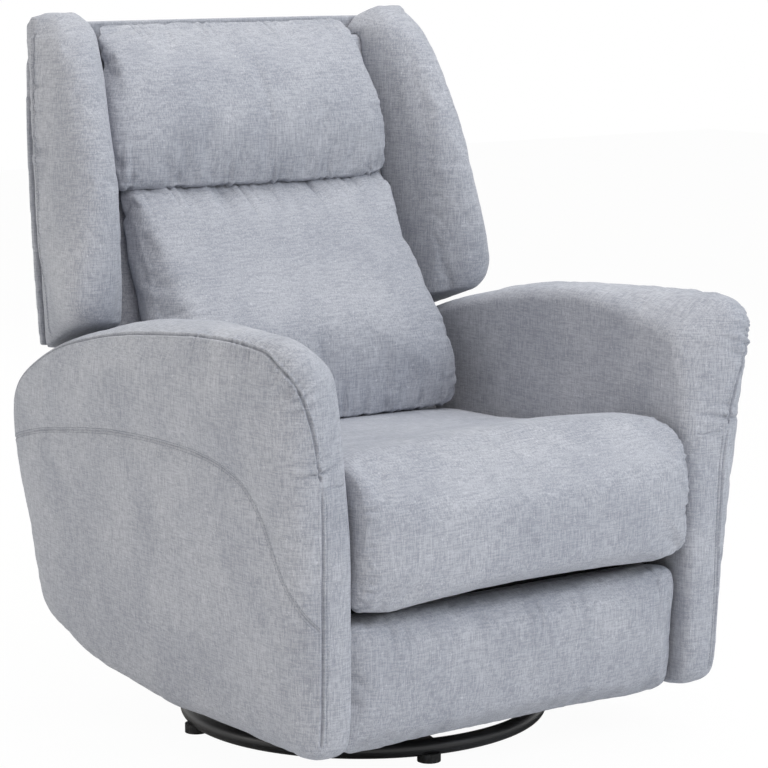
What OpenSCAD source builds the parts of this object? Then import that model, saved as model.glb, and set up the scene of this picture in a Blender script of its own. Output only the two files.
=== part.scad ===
// Swivel glider recliner: a wing-back armchair on a swivel ring base. The chair hangs on four glide
// links, its back reclines while the seat swings forward, and a footrest folds out on parallel links.
// Millimetres, +Z up. The sitter faces -Y and the sitter's left is +X. The origin is on the floor
// under the middle of the chair's width and depth.

/* [Chair] */
// Height to the tips of the wings
chair_h = 1034; // [1010:2:1060]
// Depth from the arm fronts to the rear of the back
chair_d = 800; // [790:2:830]
// Room between the two arms
arm_room = 584; // [560:2:610]
// Gap between a soft face and what slides past it
soft_gap = 0.5; // [0.4:0.1:1]

/* [Arms] */
// Height of an arm at its crest
arm_h = 640; // [630:2:660]
// Thickness of an arm at floor height
arm_foot_t = 55; // [46:1:64]
// Thickness of an arm at its crest
arm_crest_t = 120; // [104:1:134]
// Rounding of an arm's edges
arm_edge = 36; // [24:1:44]
// Thickness of the plywood panel inside an arm
arm_panel_t = 18; // [12:1:22]

/* [Seat] */
// Height of the seat frame's underside
seat_frame_z = 300; // [298:1:306]
// Height of a seat frame rail
seat_rail_h = 35; // [30:1:40]
// Width of a seat frame rail
seat_rail_t = 20; // [16:1:26]
// Thickness of the seat cushion at its rear
seat_rear_t = 92; // [84:1:98]
// Thickness of the seat cushion at its front crest
seat_crest_t = 136; // [126:1:150]
// How far the seat's front roll hangs below the frame's top
seat_roll_drop = 72; // [60:1:73]
// How far the seat's front stays behind the arm fronts
seat_setback = 2; // [1:1:12]

/* [Back] */
// How far the recline hinge is in front of the chair's rear
hinge_inset = 160; // [150:1:170]
// Height of the recline hinge
hinge_z = 330; // [324:1:334]
// Thickness of a plywood side panel of the back
back_panel_t = 18; // [12:1:22]
// Thickness of the foam core of the back
back_core_t = 40; // [30:1:50]
// Thickness of the padded outside back
outside_back_t = 8; // [6:1:12]
// How much the outside back is rounded out at its middle
back_crown = 6; // [3:1:10]
// How far the foot of the back stands forward of its top
back_lean = 139; // [125:1:150]
// Height of the outside back's lower edge
back_foot_z = 300; // [296:1:306]
// How far the rear of a wing reaches out over the arm
wing_overlap = 50; // [40:1:56]

/* [Footrest] */
// Height of the footrest's lower edge
foot_low_z = 62; // [60:1:70]
// Height of the footrest's upper edge
foot_top_z = 255; // [250:1:256]
// Thickness of the footrest board
foot_board_t = 12; // [9:1:15]
// Thickness of the footrest pad
foot_pad_t = 56; // [40:1:60]
// How far the footrest board's rear is behind the seat's front
foot_recess = 94; // [92:1:100]

/* [Footrest links] */
// How far the drive pivot is behind the seat's front
drive_back = 140; // [138:1:144]
// Height of the drive pivot
drive_z = 240; // [238:1:241]
// Length of a drive link
drive_len = 145; // [143:0.5:146]
// Direction of a folded drive link, from straight ahead
drive_angle = -110.5; // [-112:0.5:-109]
// Length of a riser link
riser_len = 166; // [164:0.5:167]
// Direction of a riser link, from straight ahead
riser_angle = 64; // [63:0.5:65]
// Arm of the crank that turns the board
crank_len = 37.5; // [36:0.5:39]
// Direction of that crank when folded
crank_angle = -90; // [-92:0.5:-88]
// Spacing of the control link from the drive link
stay_len = 42; // [41:0.5:43]
// Direction of that spacing
stay_angle = 35; // [33:0.5:36]

/* [Recline links] */
// Height of the upper pivots of the seat's swing links
swing_z = 292; // [288:1:294]
// Length of a swing link between its pivots
swing_len = 72; // [66:1:76]
// How far a swing link leans back at rest
swing_angle = 8; // [5:1:12]
// Front swing pivot, behind the drive pivot
swing_front = 68; // [62:1:74]
// Rear swing pivot, in front of the recline hinge
swing_rear = 100; // [92:1:108]

/* [Glider] */
// Swivel axis, behind the chair's middle
swivel_back = 12; // [6:1:20]
// Length of a glide link between its pivots
glide_len = 130; // [120:1:134]
// Height of the upper glide pivots
glide_z = 222; // [218:1:226]
// How far the glide links stand inside the ends of the carriage rails
glide_inset = 100; // [95:1:110]
// Half the distance between the left and right glider plates
glide_half_w = 186; // [170:1:196]
// Width of the square tubes under the seat
beam_w = 25; // [20:1:28]
// How far the carriage rails stay behind the drive pivot
rail_front_gap = 65; // [62:1:70]
// How far the carriage rails stay in front of the recline hinge
rail_rear_gap = 23; // [20:1:28]

/* [Swivel base] */
// Outer radius of the ring base
ring_r = 272; // [240:1:284]
// Thickness of the ring's tube
ring_tube = 24; // [20:1:26]
// Height of the floor glides under the ring
glide_foot_h = 8; // [6:1:10]
// Number of floor glides
foot_count = 4; // [4:1:8]
// Direction of the first floor glide
foot_turn = 165; // [150:1:180]
// Size of the square bearing plates
bearing_w = 240; // [200:5:260]
// Radius of the ball track
track_r = 90; // [80:1:96]
// Radius of a bearing ball
ball_r = 5; // [4:0.5:5.5]
// Number of bearing balls
ball_count = 18; // [12:1:22]

/* [Steel] */
// Thickness of the linkage plates
plate_t = 4; // [3:0.5:4]
// Air between two linkage plates
plate_gap = 1; // [0.8:0.1:1.4]
// Half the width of a footrest link
link_r = 11; // [10:0.5:12]
// Half the width of a swing or glide link
strap_r = 14; // [12:0.5:15]
// Radius of a footrest rivet
rivet_r = 5; // [4:0.5:6]
// Radius of a main pivot pin
pin_r = 6; // [5:0.5:7]
// Radial clearance of a pin in its bore
fit = 0.05; // [0.03:0.01:0.08]

/* [Hidden] */
$fn = 48;
over = 2;
fabric = [0.62, 0.65, 0.70];
dark_fabric = [0.30, 0.31, 0.34];
ply = [0.80, 0.66, 0.46];
steel = [0.34, 0.35, 0.37];
zinc = [0.66, 0.67, 0.69];
black = [0.08, 0.08, 0.09];
nylon = [0.85, 0.85, 0.82];
foam = [0.90, 0.87, 0.70];

half_d = chair_d / 2;
arm_in = arm_room / 2;
seat_front_y = -half_d + seat_setback;
seat_top_z = seat_frame_z + seat_rail_h;
hinge = [half_d - hinge_inset, hinge_z];
swivel_y = swivel_back;

// Planes of the linkage, counted inwards from the arm: 1 swing links, 2 seat plates,
// 3 drive and control links, 4 riser links, 5 guide links, 6 footrest brackets. Each value is the
// plane's inner face.
function plane(i) = arm_in - i * (plate_t + plate_gap);
// A direction in side view, measured up from straight ahead
function ahead(a) = [-cos(a), sin(a)];
function mix(a, b, t) = a + (b - a) * t;

foot_a = [seat_front_y + drive_back, drive_z];
foot_b = foot_a + drive_len * ahead(drive_angle);
foot_c = foot_b + riser_len * ahead(riser_angle);
crank = crank_len * ahead(crank_angle);
foot_h = foot_b + crank;
foot_g = foot_c + crank;
stay = stay_len * ahead(stay_angle);
foot_d = foot_a + stay;
foot_e = foot_b + stay;
board_back_y = seat_front_y + foot_recess;

swing = swing_len * [sin(swing_angle), -cos(swing_angle)];
swing_p1 = [foot_a.x + swing_front, swing_z];
swing_p2 = [hinge.x - swing_rear, swing_z];
swing_q1 = swing_p1 + swing;
swing_q2 = swing_p2 + swing;

glide_low_z = glide_z - glide_len;
glide_plate_t = plate_t + 1 * plate_gap;
glide_link_x = glide_half_w + glide_plate_t + plate_gap;
rail_x = glide_link_x + plate_t + plate_gap;
rail_flange = beam_w + plate_t;
rail_y0 = foot_a.x + rail_front_gap;
rail_y1 = hinge.x - rail_rear_gap;
rail_len = rail_y1 - rail_y0;
glide_ys = [rail_y0 + glide_inset, rail_y1 - glide_inset];
glide_spread = (glide_ys[1] - glide_ys[0]) / 2;

// Smooth closed curve through the points p, with k steps between two of them
function spline(a, b, c, d, t) =
  0.5 * (2 * b + (c - a) * t + (2 * a - 5 * b + 4 * c - d) * t * t + (3 * b - a - 3 * c + d) * t * t * t);
function smooth(p, k) = [
  for (i = [0 : len(p) - 1], j = [0 : k - 1])
    let (n = len(p))
    spline(p[(i + n - 1) % n], p[i], p[(i + 1) % n], p[(i + 2) % n], j / k)
];
// The closed curve p moved inwards by d at each point
function inset(p, d) = [
  for (i = [0 : len(p) - 1])
    let (n = len(p), t = p[(i + 1) % n] - p[(i + n - 1) % n], l = norm(t))
    p[i] + d[i] * [-t.y, t.x] / l
];
function middle(r) = r * [for (i = r) 1] / len(r);
function sum3(r, i = 0) = i == len(r) ? [0, 0, 0] : r[i] + sum3(r, i + 1);
function centre(r) = sum3(r) / len(r);
function power(c, p) = sign(c) * pow(abs(c), p);
// Rounded section of a cushion, between the depths y0 in front and y1 behind
function puff(w, y0, y1, p, n) = [
  for (i = [0 : n - 1])
    let (a = 360 * (i + 0.5) / n)
    [w * power(cos(a), p), (y0 + y1) / 2 + (y1 - y0) / 2 * power(sin(a), p)]
];

// Skin through rings of points that turn counter-clockwise as seen from the last ring's side
module loft(rings, crown0 = [0, 0, 0], crown1 = [0, 0, 0]) {
  n = len(rings[0]);
  m = len(rings);
  pts = concat(
    [for (r = rings) each r],
    [centre(rings[0]) + crown0, centre(rings[m - 1]) + crown1]
  );
  sides = [
    for (k = [0 : m - 2], j = [0 : n - 1])
      let (a = k * n + j, b = k * n + (j + 1) % n)
      each [[a, a + n, b + n], [a, b + n, b]]
  ];
  first = [for (j = [0 : n - 1]) [m * n, j, (j + 1) % n]];
  last = [for (j = [0 : n - 1]) [m * n + 1, (m - 1) * n + (j + 1) % n, (m - 1) * n + j]];
  polyhedron(pts, concat(sides, first, last), convexity = 6);
}

module both_sides() {
  children();
  mirror([1, 0, 0]) children();
}
// A side-view outline (y, z) made t thick, with its inner face at x
module slab(x, t) {
  translate([x, 0, 0]) rotate([90, 0, 90]) linear_extrude(t) children();
}
module link2d(p, q, r) {
  translate(p) circle(r);
  translate(q) circle(r);
  translate(p) rotate(atan2(q.y - p.y, q.x - p.x)) translate([0, -r]) square([norm(q - p), 2 * r]);
}
module hole2d(p, r) {
  translate(p) circle(r + fit);
}
// Pin at p in side view, from plane i's inner face to plane j's outer face
module linkage_pin(p, r, i, j) {
  slab(plane(i), plane(j) + plate_t - plane(i)) translate(p) circle(r);
}

ring_mid_z = glide_foot_h + ring_tube / 2;
ring_mid_r = ring_r - ring_tube / 2;
hub_z = ring_mid_z + ring_tube / 4;
cross_t = ring_tube / 2;
cross_w = 1.25 * ring_tube;
module ring_tube_solid(r) {
  translate([0, swivel_y, ring_mid_z]) rotate_extrude($fn = 96) translate([ring_mid_r, 0]) circle(r);
}
module base_ring() {
  color(black) ring_tube_solid(ring_tube / 2);
}

bolt_r = 8;
hub_r = 1.5 * cross_w;
module base_cross_arms() {
  color(black) difference() {
    translate([0, swivel_y, hub_z - cross_t]) union() {
      for (i = [0 : foot_count - 1])
        rotate(foot_turn + 360 * i / foot_count) translate([0, -cross_w / 2, 0])
          cube([ring_mid_r, cross_w, cross_t]);
    }
    ring_tube_solid(ring_tube / 2 + fit);
    translate([0, swivel_y, 0]) cylinder(r = hub_r, h = hub_z + over);
  }
}
module base_hub() {
  color(black) translate([0, swivel_y, hub_z - cross_t]) difference() {
    cylinder(r = hub_r, h = cross_t);
    translate([0, 0, -over]) cylinder(r = bolt_r + fit, h = cross_t + 2 * over);
  }
}

foot_pad_r = 0.7 * ring_tube;
module floor_glides() {
  color(black) difference() {
    for (i = [0 : foot_count - 1])
      translate([0, swivel_y, 0]) rotate(foot_turn + 360 * i / foot_count)
        translate([ring_mid_r, 0, 0]) cylinder(r = foot_pad_r, h = 1.6 * glide_foot_h);
    ring_tube_solid(ring_tube / 2 + fit);
  }
}

track_half_w = 1.6 * ball_r;
race_h = ball_r;
bearing_gap = 0.3 * ball_r;
ball_z = hub_z + plate_t + race_h + bearing_gap / 2;
bearing_top_z = 2 * ball_z - hub_z;
module bearing_plate(z0, race_z) {
  difference() {
    union() {
      translate([-bearing_w / 2, swivel_y - bearing_w / 2, z0]) cube([bearing_w, bearing_w, plate_t]);
      translate([0, swivel_y, race_z]) rotate_extrude()
        translate([track_r - track_half_w, 0]) square([2 * track_half_w, race_h]);
    }
    translate([0, swivel_y, ball_z]) rotate_extrude()
      translate([track_r, 0]) circle(ball_r + fit);
    translate([0, swivel_y, z0 - over]) cylinder(r = bolt_r + fit, h = plate_t + 2 * over);
  }
}
module lower_bearing_plate() {
  color(zinc) bearing_plate(hub_z, hub_z + plate_t);
}
module upper_bearing_plate() {
  color(zinc) bearing_plate(bearing_top_z - plate_t, bearing_top_z - plate_t - race_h);
}
module bearing_balls() {
  color(zinc) for (i = [0 : ball_count - 1])
    translate([0, swivel_y, ball_z]) rotate(360 * i / ball_count)
      translate([track_r, 0, 0]) sphere(ball_r, $fn = 24);
}

bolt_head_r = 1.7 * bolt_r;
bolt_head_h = 0.75 * bolt_r;
nut_gap = 0.3;
module swivel_bolt() {
  color(zinc) translate([0, swivel_y, 0]) union() {
    translate([0, 0, hub_z - cross_t - bolt_head_h]) cylinder(r = bolt_head_r, h = bolt_head_h);
    translate([0, 0, hub_z - cross_t - fit])
      cylinder(r = bolt_r, h = bearing_top_z + nut_gap + bolt_head_h - hub_z + cross_t + fit);
  }
}
module swivel_nut() {
  color(zinc) translate([0, swivel_y, bearing_top_z + nut_gap]) difference() {
    cylinder(r = bolt_head_r, h = bolt_head_h, $fn = 6);
    translate([0, 0, -over]) cylinder(r = bolt_r + fit, h = bolt_head_h + 2 * over);
  }
}

frame_tube = 0.8 * beam_w;
frame_beam_y = 0.75 * bearing_w / 2;
frame_half_l = glide_spread + 2 * beam_w;
module glider_side_tubes() {
  color(black) translate([0, swivel_y, bearing_top_z]) both_sides()
    translate([glide_half_w - frame_tube, -frame_half_l, 0])
      cube([frame_tube, 2 * frame_half_l, frame_tube]);
}
module glider_cross_tubes() {
  color(black) translate([0, swivel_y, bearing_top_z]) for (s = [-1, 1])
    translate([-glide_half_w + frame_tube, s * frame_beam_y - frame_tube / 2, 0])
      cube([2 * (glide_half_w - frame_tube), frame_tube, frame_tube]);
}

post_r = 1.3 * strap_r;
module glider_posts() {
  color(steel) both_sides() slab(glide_half_w, glide_plate_t) difference() {
    for (y = glide_ys)
      union() {
        translate([y - 1.6 * post_r, bearing_top_z]) square([3.2 * post_r, frame_tube]);
        link2d([y, bearing_top_z + frame_tube], [y, glide_z], post_r);
      }
    for (y = glide_ys)
      hole2d([y, glide_z], pin_r);
  }
}
module glider_pins() {
  color(zinc) both_sides() for (y = glide_ys)
    slab(glide_half_w, glide_link_x + plate_t - glide_half_w) translate([y, glide_z]) circle(pin_r);
}
module glide_links(y) {
  color(steel) both_sides() slab(glide_link_x, plate_t) difference() {
    link2d([y, glide_low_z], [y, glide_z], strap_r);
    hole2d([y, glide_low_z], pin_r);
    hole2d([y, glide_z], pin_r);
  }
}
module front_glide_links() {
  glide_links(glide_ys[0]);
}
module rear_glide_links() {
  glide_links(glide_ys[1]);
}

rail_low_z = glide_low_z - strap_r;
cross_z = glide_low_z + 2.4 * strap_r;
cross_tube_ys = [rail_y0 + beam_w / 2, rail_y1 - beam_w / 2];
module carriage_rails() {
  color(steel) both_sides() difference() {
    union() {
      slab(rail_x, plate_t) difference() {
        translate([rail_y0, rail_low_z]) square([rail_len, cross_z - rail_low_z]);
        for (y = glide_ys)
          hole2d([y, glide_low_z], pin_r);
      }
      translate([rail_x + plate_t, rail_y0, cross_z - plate_t])
        cube([rail_flange, rail_len, plate_t]);
    }
  }
}
module carriage_pins() {
  color(zinc) both_sides() for (y = glide_ys)
    slab(glide_link_x, rail_x + plate_t - glide_link_x) translate([y, glide_low_z]) circle(pin_r);
}
module carriage_cross_tubes() {
  color(black) for (y = cross_tube_ys)
    translate([-arm_in, y - beam_w / 2, cross_z]) cube([2 * arm_in, beam_w, beam_w]);
}

mech_foot_h = 1.2 * beam_w;
lightening_r = 2.4 * strap_r;
module mechanism_plate_left() {
  y0 = cross_tube_ys[0] - beam_w / 2;
  y1 = cross_tube_ys[1] + beam_w / 2;
  color(steel) slab(arm_in, plate_t) difference() {
    union() {
      translate([y0, cross_z]) square([y1 - y0, mech_foot_h]);
      link2d(swing_p1, [swing_p1.x, cross_z + strap_r], strap_r);
      link2d(swing_p2, [swing_p2.x, cross_z + strap_r], strap_r);
      polygon([
        [swing_p1.x, cross_z + strap_r], [swing_p2.x, cross_z + strap_r],
        [swing_p2.x, swing_z], [swing_p1.x, swing_z]
      ]);
    }
    for (t = [0.2, 0.5, 0.8])
      translate([mix(swing_p1.x, swing_p2.x, t), mix(cross_z + mech_foot_h, swing_z, 0.42)])
        circle(lightening_r);
    hole2d(swing_p1, pin_r);
    hole2d(swing_p2, pin_r);
  }
}
module mechanism_plate_right() {
  mirror([1, 0, 0]) mechanism_plate_left();
}
module swing_pins() {
  color(zinc) both_sides() for (p = [swing_p1, swing_p2])
    linkage_pin(p, pin_r, 1, 0);
}

// Side view of an arm, counter-clockwise from its front toe, in shares of half_d and arm_h
arm_side_shares = [
  [-0.880, 0.116], [-0.675, 0.109], [-0.450, 0.108], [-0.225, 0.108], [0.013, 0.108], [0.242, 0.122],
  [0.460, 0.138], [0.620, 0.163], [0.745, 0.191], [0.835, 0.228], [0.885, 0.278], [0.920, 0.369],
  [0.943, 0.469], [0.960, 0.562], [0.968, 0.664], [0.955, 0.734], [0.885, 0.797], [0.750, 0.847],
  [0.600, 0.886], [0.438, 0.916], [0.250, 0.942], [0.050, 0.964], [-0.200, 0.981], [-0.450, 0.991],
  [-0.675, 0.998], [-0.838, 1.000], [-0.935, 0.983], [-0.983, 0.944], [-0.995, 0.883], [-0.988, 0.797],
  [-0.973, 0.702], [-0.960, 0.520], [-0.953, 0.312], [-0.938, 0.172]
];
arm_side = smooth([for (s = arm_side_shares) [s.x * half_d, s.y * arm_h]], 2);
// How much further than elsewhere the inner edge is rounded at an arm's front corner
arm_corner_cut = 0.1 * arm_h;
arm_corner = [-0.95 * half_d, 0.96 * arm_h];
function corner_cut(p) = arm_corner_cut * pow(max(0, 1 - norm(p - arm_corner) / (0.42 * arm_h)), 1.3);
// Rings from an arm's inner to its outer face: share of its thickness, share of its edge rounding
arm_ring_shares = [
  [0, 0.50], [0.05, 0.22], [0.18, 0.04], [0.42, 0], [0.68, 0.05], [0.86, 0.24], [0.96, 0.56], [1, 1]
];
// The rounding fades towards an arm's lower edge
function arm_round(z) = mix(0.4, 1, min(1, max(0, (z / arm_h - 0.12) / 0.3)));
function arm_t(p) =
  mix(arm_foot_t, arm_crest_t, p.y / arm_h) * mix(0.95, 1, min(1, 0.5 - 0.5 * p.x / half_d));
module arm_form() {
  loft([
    for (s = arm_ring_shares)
      let (d = [
        for (p = arm_side) s.y * arm_edge * arm_round(p.y) + max(0, 1 - 1.6 * s.x) * corner_cut(p)
      ], r = inset(arm_side, d))
      [for (p = r) [arm_in + s.x * arm_t(p), p.x, p.y]]
  ], [0, 0, 0], [0.05 * arm_crest_t, 0, 0]);
}
// Side view of the plywood panel in an arm, with its foot lowered by drop
panel_shares = [
  [-0.84, 0.150], [0.76, 0.245], [0.84, 0.33], [0.84, 0.66], [0.72, 0.75],
  [0.25, 0.86], [-0.25, 0.915], [-0.70, 0.90], [-0.86, 0.78]
];
module panel2d(drop = 0) {
  polygon([
    for (i = [0 : len(panel_shares) - 1])
      let (s = panel_shares[i])
      [s.x * half_d, s.y * arm_h - (i < 2 ? drop : 0)]
  ]);
}
panel_x = arm_in + plate_t;
module arm_panel_left() {
  color(ply) slab(panel_x, arm_panel_t) difference() {
    panel2d();
    for (s = [-0.42, 0.05, 0.48])
      translate([s * half_d, 0.52 * arm_h]) square([0.23 * half_d, 0.30 * arm_h], center = true);
  }
}
module arm_panel_right() {
  mirror([1, 0, 0]) arm_panel_left();
}
module arm_left() {
  y0 = min(cross_tube_ys[0] - beam_w / 2, swing_p1.x - strap_r);
  y1 = max(cross_tube_ys[1] + beam_w / 2, swing_p2.x + strap_r);
  color(fabric) difference() {
    arm_form();
    slab(panel_x - fit, arm_panel_t + soft_gap) offset(delta = soft_gap) panel2d(arm_h / 3);
    translate([arm_in - over, y0 - soft_gap, 0])
      cube([plate_t + 2 * over, y1 - y0 + 2 * soft_gap, swing_z + strap_r + soft_gap]);
  }
}
module arm_right() {
  mirror([1, 0, 0]) arm_left();
}

skirt_y = 0.815 * half_d;
skirt_t = outside_back_t;
skirt_z = cross_z + beam_w;
module rear_skirt() {
  color(dark_fabric) translate([-arm_in, skirt_y, skirt_z])
    cube([2 * arm_in, skirt_t, back_foot_z - skirt_t - skirt_z]);
}

module swing_links(p) {
  q = p + swing;
  color(steel) both_sides() slab(plane(1), plate_t) difference() {
    link2d(p, q, strap_r);
    hole2d(p, pin_r);
    hole2d(q, pin_r);
  }
}
module front_swing_links() {
  swing_links(swing_p1);
}
module rear_swing_links() {
  swing_links(swing_p2);
}

seat_frame_y0 = board_back_y - 1.5 * seat_rail_t;
seat_frame_y1 = hinge.x - 2.6 * seat_rail_t;
hinge_lug_r = 1.1 * seat_rail_t;
module seat_plate_left() {
  color(steel) slab(plane(2), plate_t) difference() {
    union() {
      translate([seat_frame_y0, seat_frame_z]) square([hinge.x - seat_frame_y0, seat_rail_h]);
      translate(hinge) circle(hinge_lug_r);
    }
    hole2d(hinge, pin_r);
  }
}
module seat_plate_right() {
  mirror([1, 0, 0]) seat_plate_left();
}
module seat_hangers() {
  color(steel) both_sides() slab(plane(2), plate_t) difference() {
    union() {
      link2d(foot_a, foot_d, link_r);
      link2d(foot_a, swing_q1, strap_r);
      polygon([
        foot_d + [-link_r, 0], foot_a, swing_q1, swing_q1 + [strap_r, 0],
        [swing_q1.x + 3 * strap_r, seat_frame_z], [foot_d.x - link_r, seat_frame_z]
      ]);
      translate(swing_q2) circle(strap_r);
      polygon([
        swing_q2 + [strap_r, 0], [swing_q2.x + 2 * strap_r, seat_frame_z],
        [swing_q2.x - 2 * strap_r, seat_frame_z], swing_q2 + [-strap_r, 0]
      ]);
    }
    for (p = [foot_a, foot_d])
      hole2d(p, rivet_r);
    for (p = [swing_q1, swing_q2])
      hole2d(p, pin_r);
  }
}
module seat_pins() {
  color(zinc) both_sides() {
    linkage_pin(foot_a, rivet_r, 3, 2);
    linkage_pin(foot_d, rivet_r, 3, 2);
    linkage_pin(swing_q1, pin_r, 2, 1);
    linkage_pin(swing_q2, pin_r, 2, 1);
    linkage_pin(hinge, pin_r, 3, 2);
  }
}
seat_half_w = plane(2);
module seat_side_rails() {
  color(ply) both_sides() translate([seat_half_w - seat_rail_t, seat_frame_y0, seat_frame_z])
    cube([seat_rail_t, seat_frame_y1 - seat_frame_y0, seat_rail_h]);
}
module seat_cross_rails() {
  color(ply) for (y = [seat_frame_y0, seat_frame_y1 - seat_rail_t])
    translate([-seat_half_w + seat_rail_t, y, seat_frame_z])
      cube([2 * (seat_half_w - seat_rail_t), seat_rail_t, seat_rail_h]);
}
spring_count = 5;
spring_wire = 4;
spring_bends = 12;
spring_sweep = 24;
// Flat zigzag spring between the front and the rear rail, on the line x
function zigzag(x, y0, y1, s) = [
  for (i = [0 : 4 * spring_bends])
    let (t = i / (4 * spring_bends), a = 180 * spring_bends * t)
    let (slope = spring_sweep * PI * spring_bends / (y1 - y0) * cos(a), l = sqrt(1 + slope * slope))
    [x + spring_sweep * sin(a) + s * spring_wire / 2 / l, mix(y0, y1, t) - s * spring_wire / 2 * slope / l]
];
module seat_springs() {
  y0 = seat_frame_y0 + seat_rail_t;
  y1 = seat_frame_y1 - seat_rail_t;
  pitch = 2 * (seat_half_w - seat_rail_t) / spring_count;
  color(zinc) intersection() {
    translate([-seat_half_w, y0, seat_top_z - 2 * spring_wire])
      cube([2 * seat_half_w, y1 - y0, spring_wire]);
    for (i = [0 : spring_count - 1])
      let (x = (i + 0.5 - spring_count / 2) * pitch)
      translate([0, 0, seat_top_z - 2 * spring_wire]) linear_extrude(spring_wire) polygon(concat(
        zigzag(x, y0 - over, y1 + over, 1),
        [for (i = [4 * spring_bends : -1 : 0]) zigzag(x, y0 - over, y1 + over, -1)[i]]
      ));
  }
}

// Side view of the seat cushion, counter-clockwise from the foot of its front roll. Its heights
// are measured from the frame's top, and its depths from the seat's front.
roll_back = seat_frame_y0 - soft_gap;
seat_rear_y = seat_frame_y1 - seat_rail_t;
seat_deck_z = seat_top_z + soft_gap;
function seat_y(s) = mix(seat_front_y, seat_rear_y, s);
seat_side = concat(
  [[roll_back, seat_deck_z]],
  smooth_open([
    [roll_back - 0.002 * chair_d, seat_top_z - 0.86 * seat_roll_drop],
    [mix(seat_front_y, roll_back, 0.5), seat_top_z - seat_roll_drop],
    [seat_y(0.016), seat_top_z - 0.62 * seat_roll_drop], [seat_y(0), seat_top_z + 0.02 * seat_crest_t],
    [seat_y(0.002), seat_top_z + 0.40 * seat_crest_t], [seat_y(0.022), seat_top_z + 0.76 * seat_crest_t],
    [seat_y(0.075), seat_top_z + 0.96 * seat_crest_t], [seat_y(0.16), seat_top_z + seat_crest_t],
    [seat_y(0.27), seat_top_z + 0.95 * seat_crest_t],
    [seat_y(0.38), mix(seat_top_z + seat_crest_t, seat_top_z + seat_rear_t, 0.52)],
    [seat_y(0.55), mix(seat_top_z + seat_crest_t, seat_top_z + seat_rear_t, 0.84)],
    [seat_y(0.78), seat_top_z + seat_rear_t], [seat_y(0.97), seat_top_z + 0.95 * seat_rear_t],
    [seat_y(1), seat_top_z + 0.80 * seat_rear_t]
  ], 2),
  [[seat_y(1), seat_deck_z]]
);
// Smooth open curve through the points p
function smooth_open(p, k) = concat([
  for (i = [0 : len(p) - 2], j = [0 : k - 1])
    let (n = len(p))
    spline(p[max(0, i - 1)], p[i], p[i + 1], p[min(n - 1, i + 2)], j / k)
], [p[len(p) - 1]]);
function reverse(p) = [for (i = [len(p) - 1 : -1 : 0]) p[i]];
// Rings across the seat: share of its half width, share of the edge rounding
seat_ring_shares = [[-1, 1], [-0.985, 0.5], [-0.94, 0.16], [-0.8, 0.03], [-0.4, 0]];
seat_edge = 22;
seat_cushion_half_w = arm_in - soft_gap;
module seat_cushion() {
  side = reverse(seat_side);
  half = [for (s = seat_ring_shares) s];
  rings = concat(half, [for (i = [len(half) - 1 : -1 : 0]) [-half[i].x, half[i].y]]);
  color(fabric) loft([
    for (s = rings)
      let (d = [for (p = side) p.y > seat_deck_z + over || p.x < roll_back - over ? s.y * seat_edge : 0])
      let (r = inset(side, d))
      [for (p = r) [s.x * seat_cushion_half_w, p.x, p.y]]
  ]);
}

module footrest_drive_links() {
  color(steel) both_sides() slab(plane(3), plate_t) difference() {
    union() {
      link2d(foot_a, foot_b, link_r);
      link2d(foot_b, foot_h, link_r);
    }
    for (p = [foot_a, foot_b, foot_h])
      hole2d(p, rivet_r);
  }
}
module footrest_drive_pins() {
  color(zinc) both_sides() {
    linkage_pin(foot_b, rivet_r, 4, 3);
    linkage_pin(foot_h, rivet_r, 5, 3);
  }
}
module footrest_control_links() {
  color(steel) both_sides() slab(plane(3), plate_t) difference() {
    link2d(foot_d, foot_e, link_r);
    for (p = [foot_d, foot_e])
      hole2d(p, rivet_r);
  }
}
module footrest_riser_links() {
  color(steel) both_sides() slab(plane(4), plate_t) difference() {
    union() {
      link2d(foot_b, foot_c, link_r);
      link2d(foot_b, foot_e, link_r);
    }
    for (p = [foot_b, foot_c, foot_e])
      hole2d(p, rivet_r);
  }
}
module footrest_riser_pins() {
  color(zinc) both_sides() {
    linkage_pin(foot_c, rivet_r, 6, 4);
    linkage_pin(foot_e, rivet_r, 4, 3);
  }
}
module footrest_guide_links() {
  color(steel) both_sides() slab(plane(5), plate_t) difference() {
    link2d(foot_h, foot_g, link_r);
    for (p = [foot_h, foot_g])
      hole2d(p, rivet_r);
  }
}
board_low_z = foot_low_z + 0.06 * (foot_top_z - foot_low_z);
board_top_z = foot_top_z - 0.03 * (foot_top_z - foot_low_z);
module footrest_brackets() {
  color(steel) both_sides() slab(plane(6), plate_t) difference() {
    union() {
      link2d(foot_c, foot_g, link_r);
      polygon([
        [foot_c.x - 0.6 * link_r, foot_c.y], [board_back_y, foot_c.y - 0.6 * link_r],
        [board_back_y, board_low_z + link_r], [board_back_y + 0.8 * link_r, board_low_z + link_r],
        [foot_g.x + 0.8 * link_r, foot_g.y], [foot_c.x + 0.8 * link_r, foot_c.y]
      ]);
    }
    translate([board_back_y - 4 * link_r, 0]) square([4 * link_r, foot_top_z + 2 * link_r]);
    for (p = [foot_c, foot_g])
      hole2d(p, rivet_r);
  }
}
module footrest_bracket_pins() {
  color(zinc) both_sides() linkage_pin(foot_g, rivet_r, 6, 5);
}
board_half_w = plane(6) + plate_t;
module footrest_board() {
  color(ply) translate([-board_half_w, board_back_y - foot_board_t, board_low_z])
    cube([2 * board_half_w, foot_board_t, board_top_z - board_low_z]);
}
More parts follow.
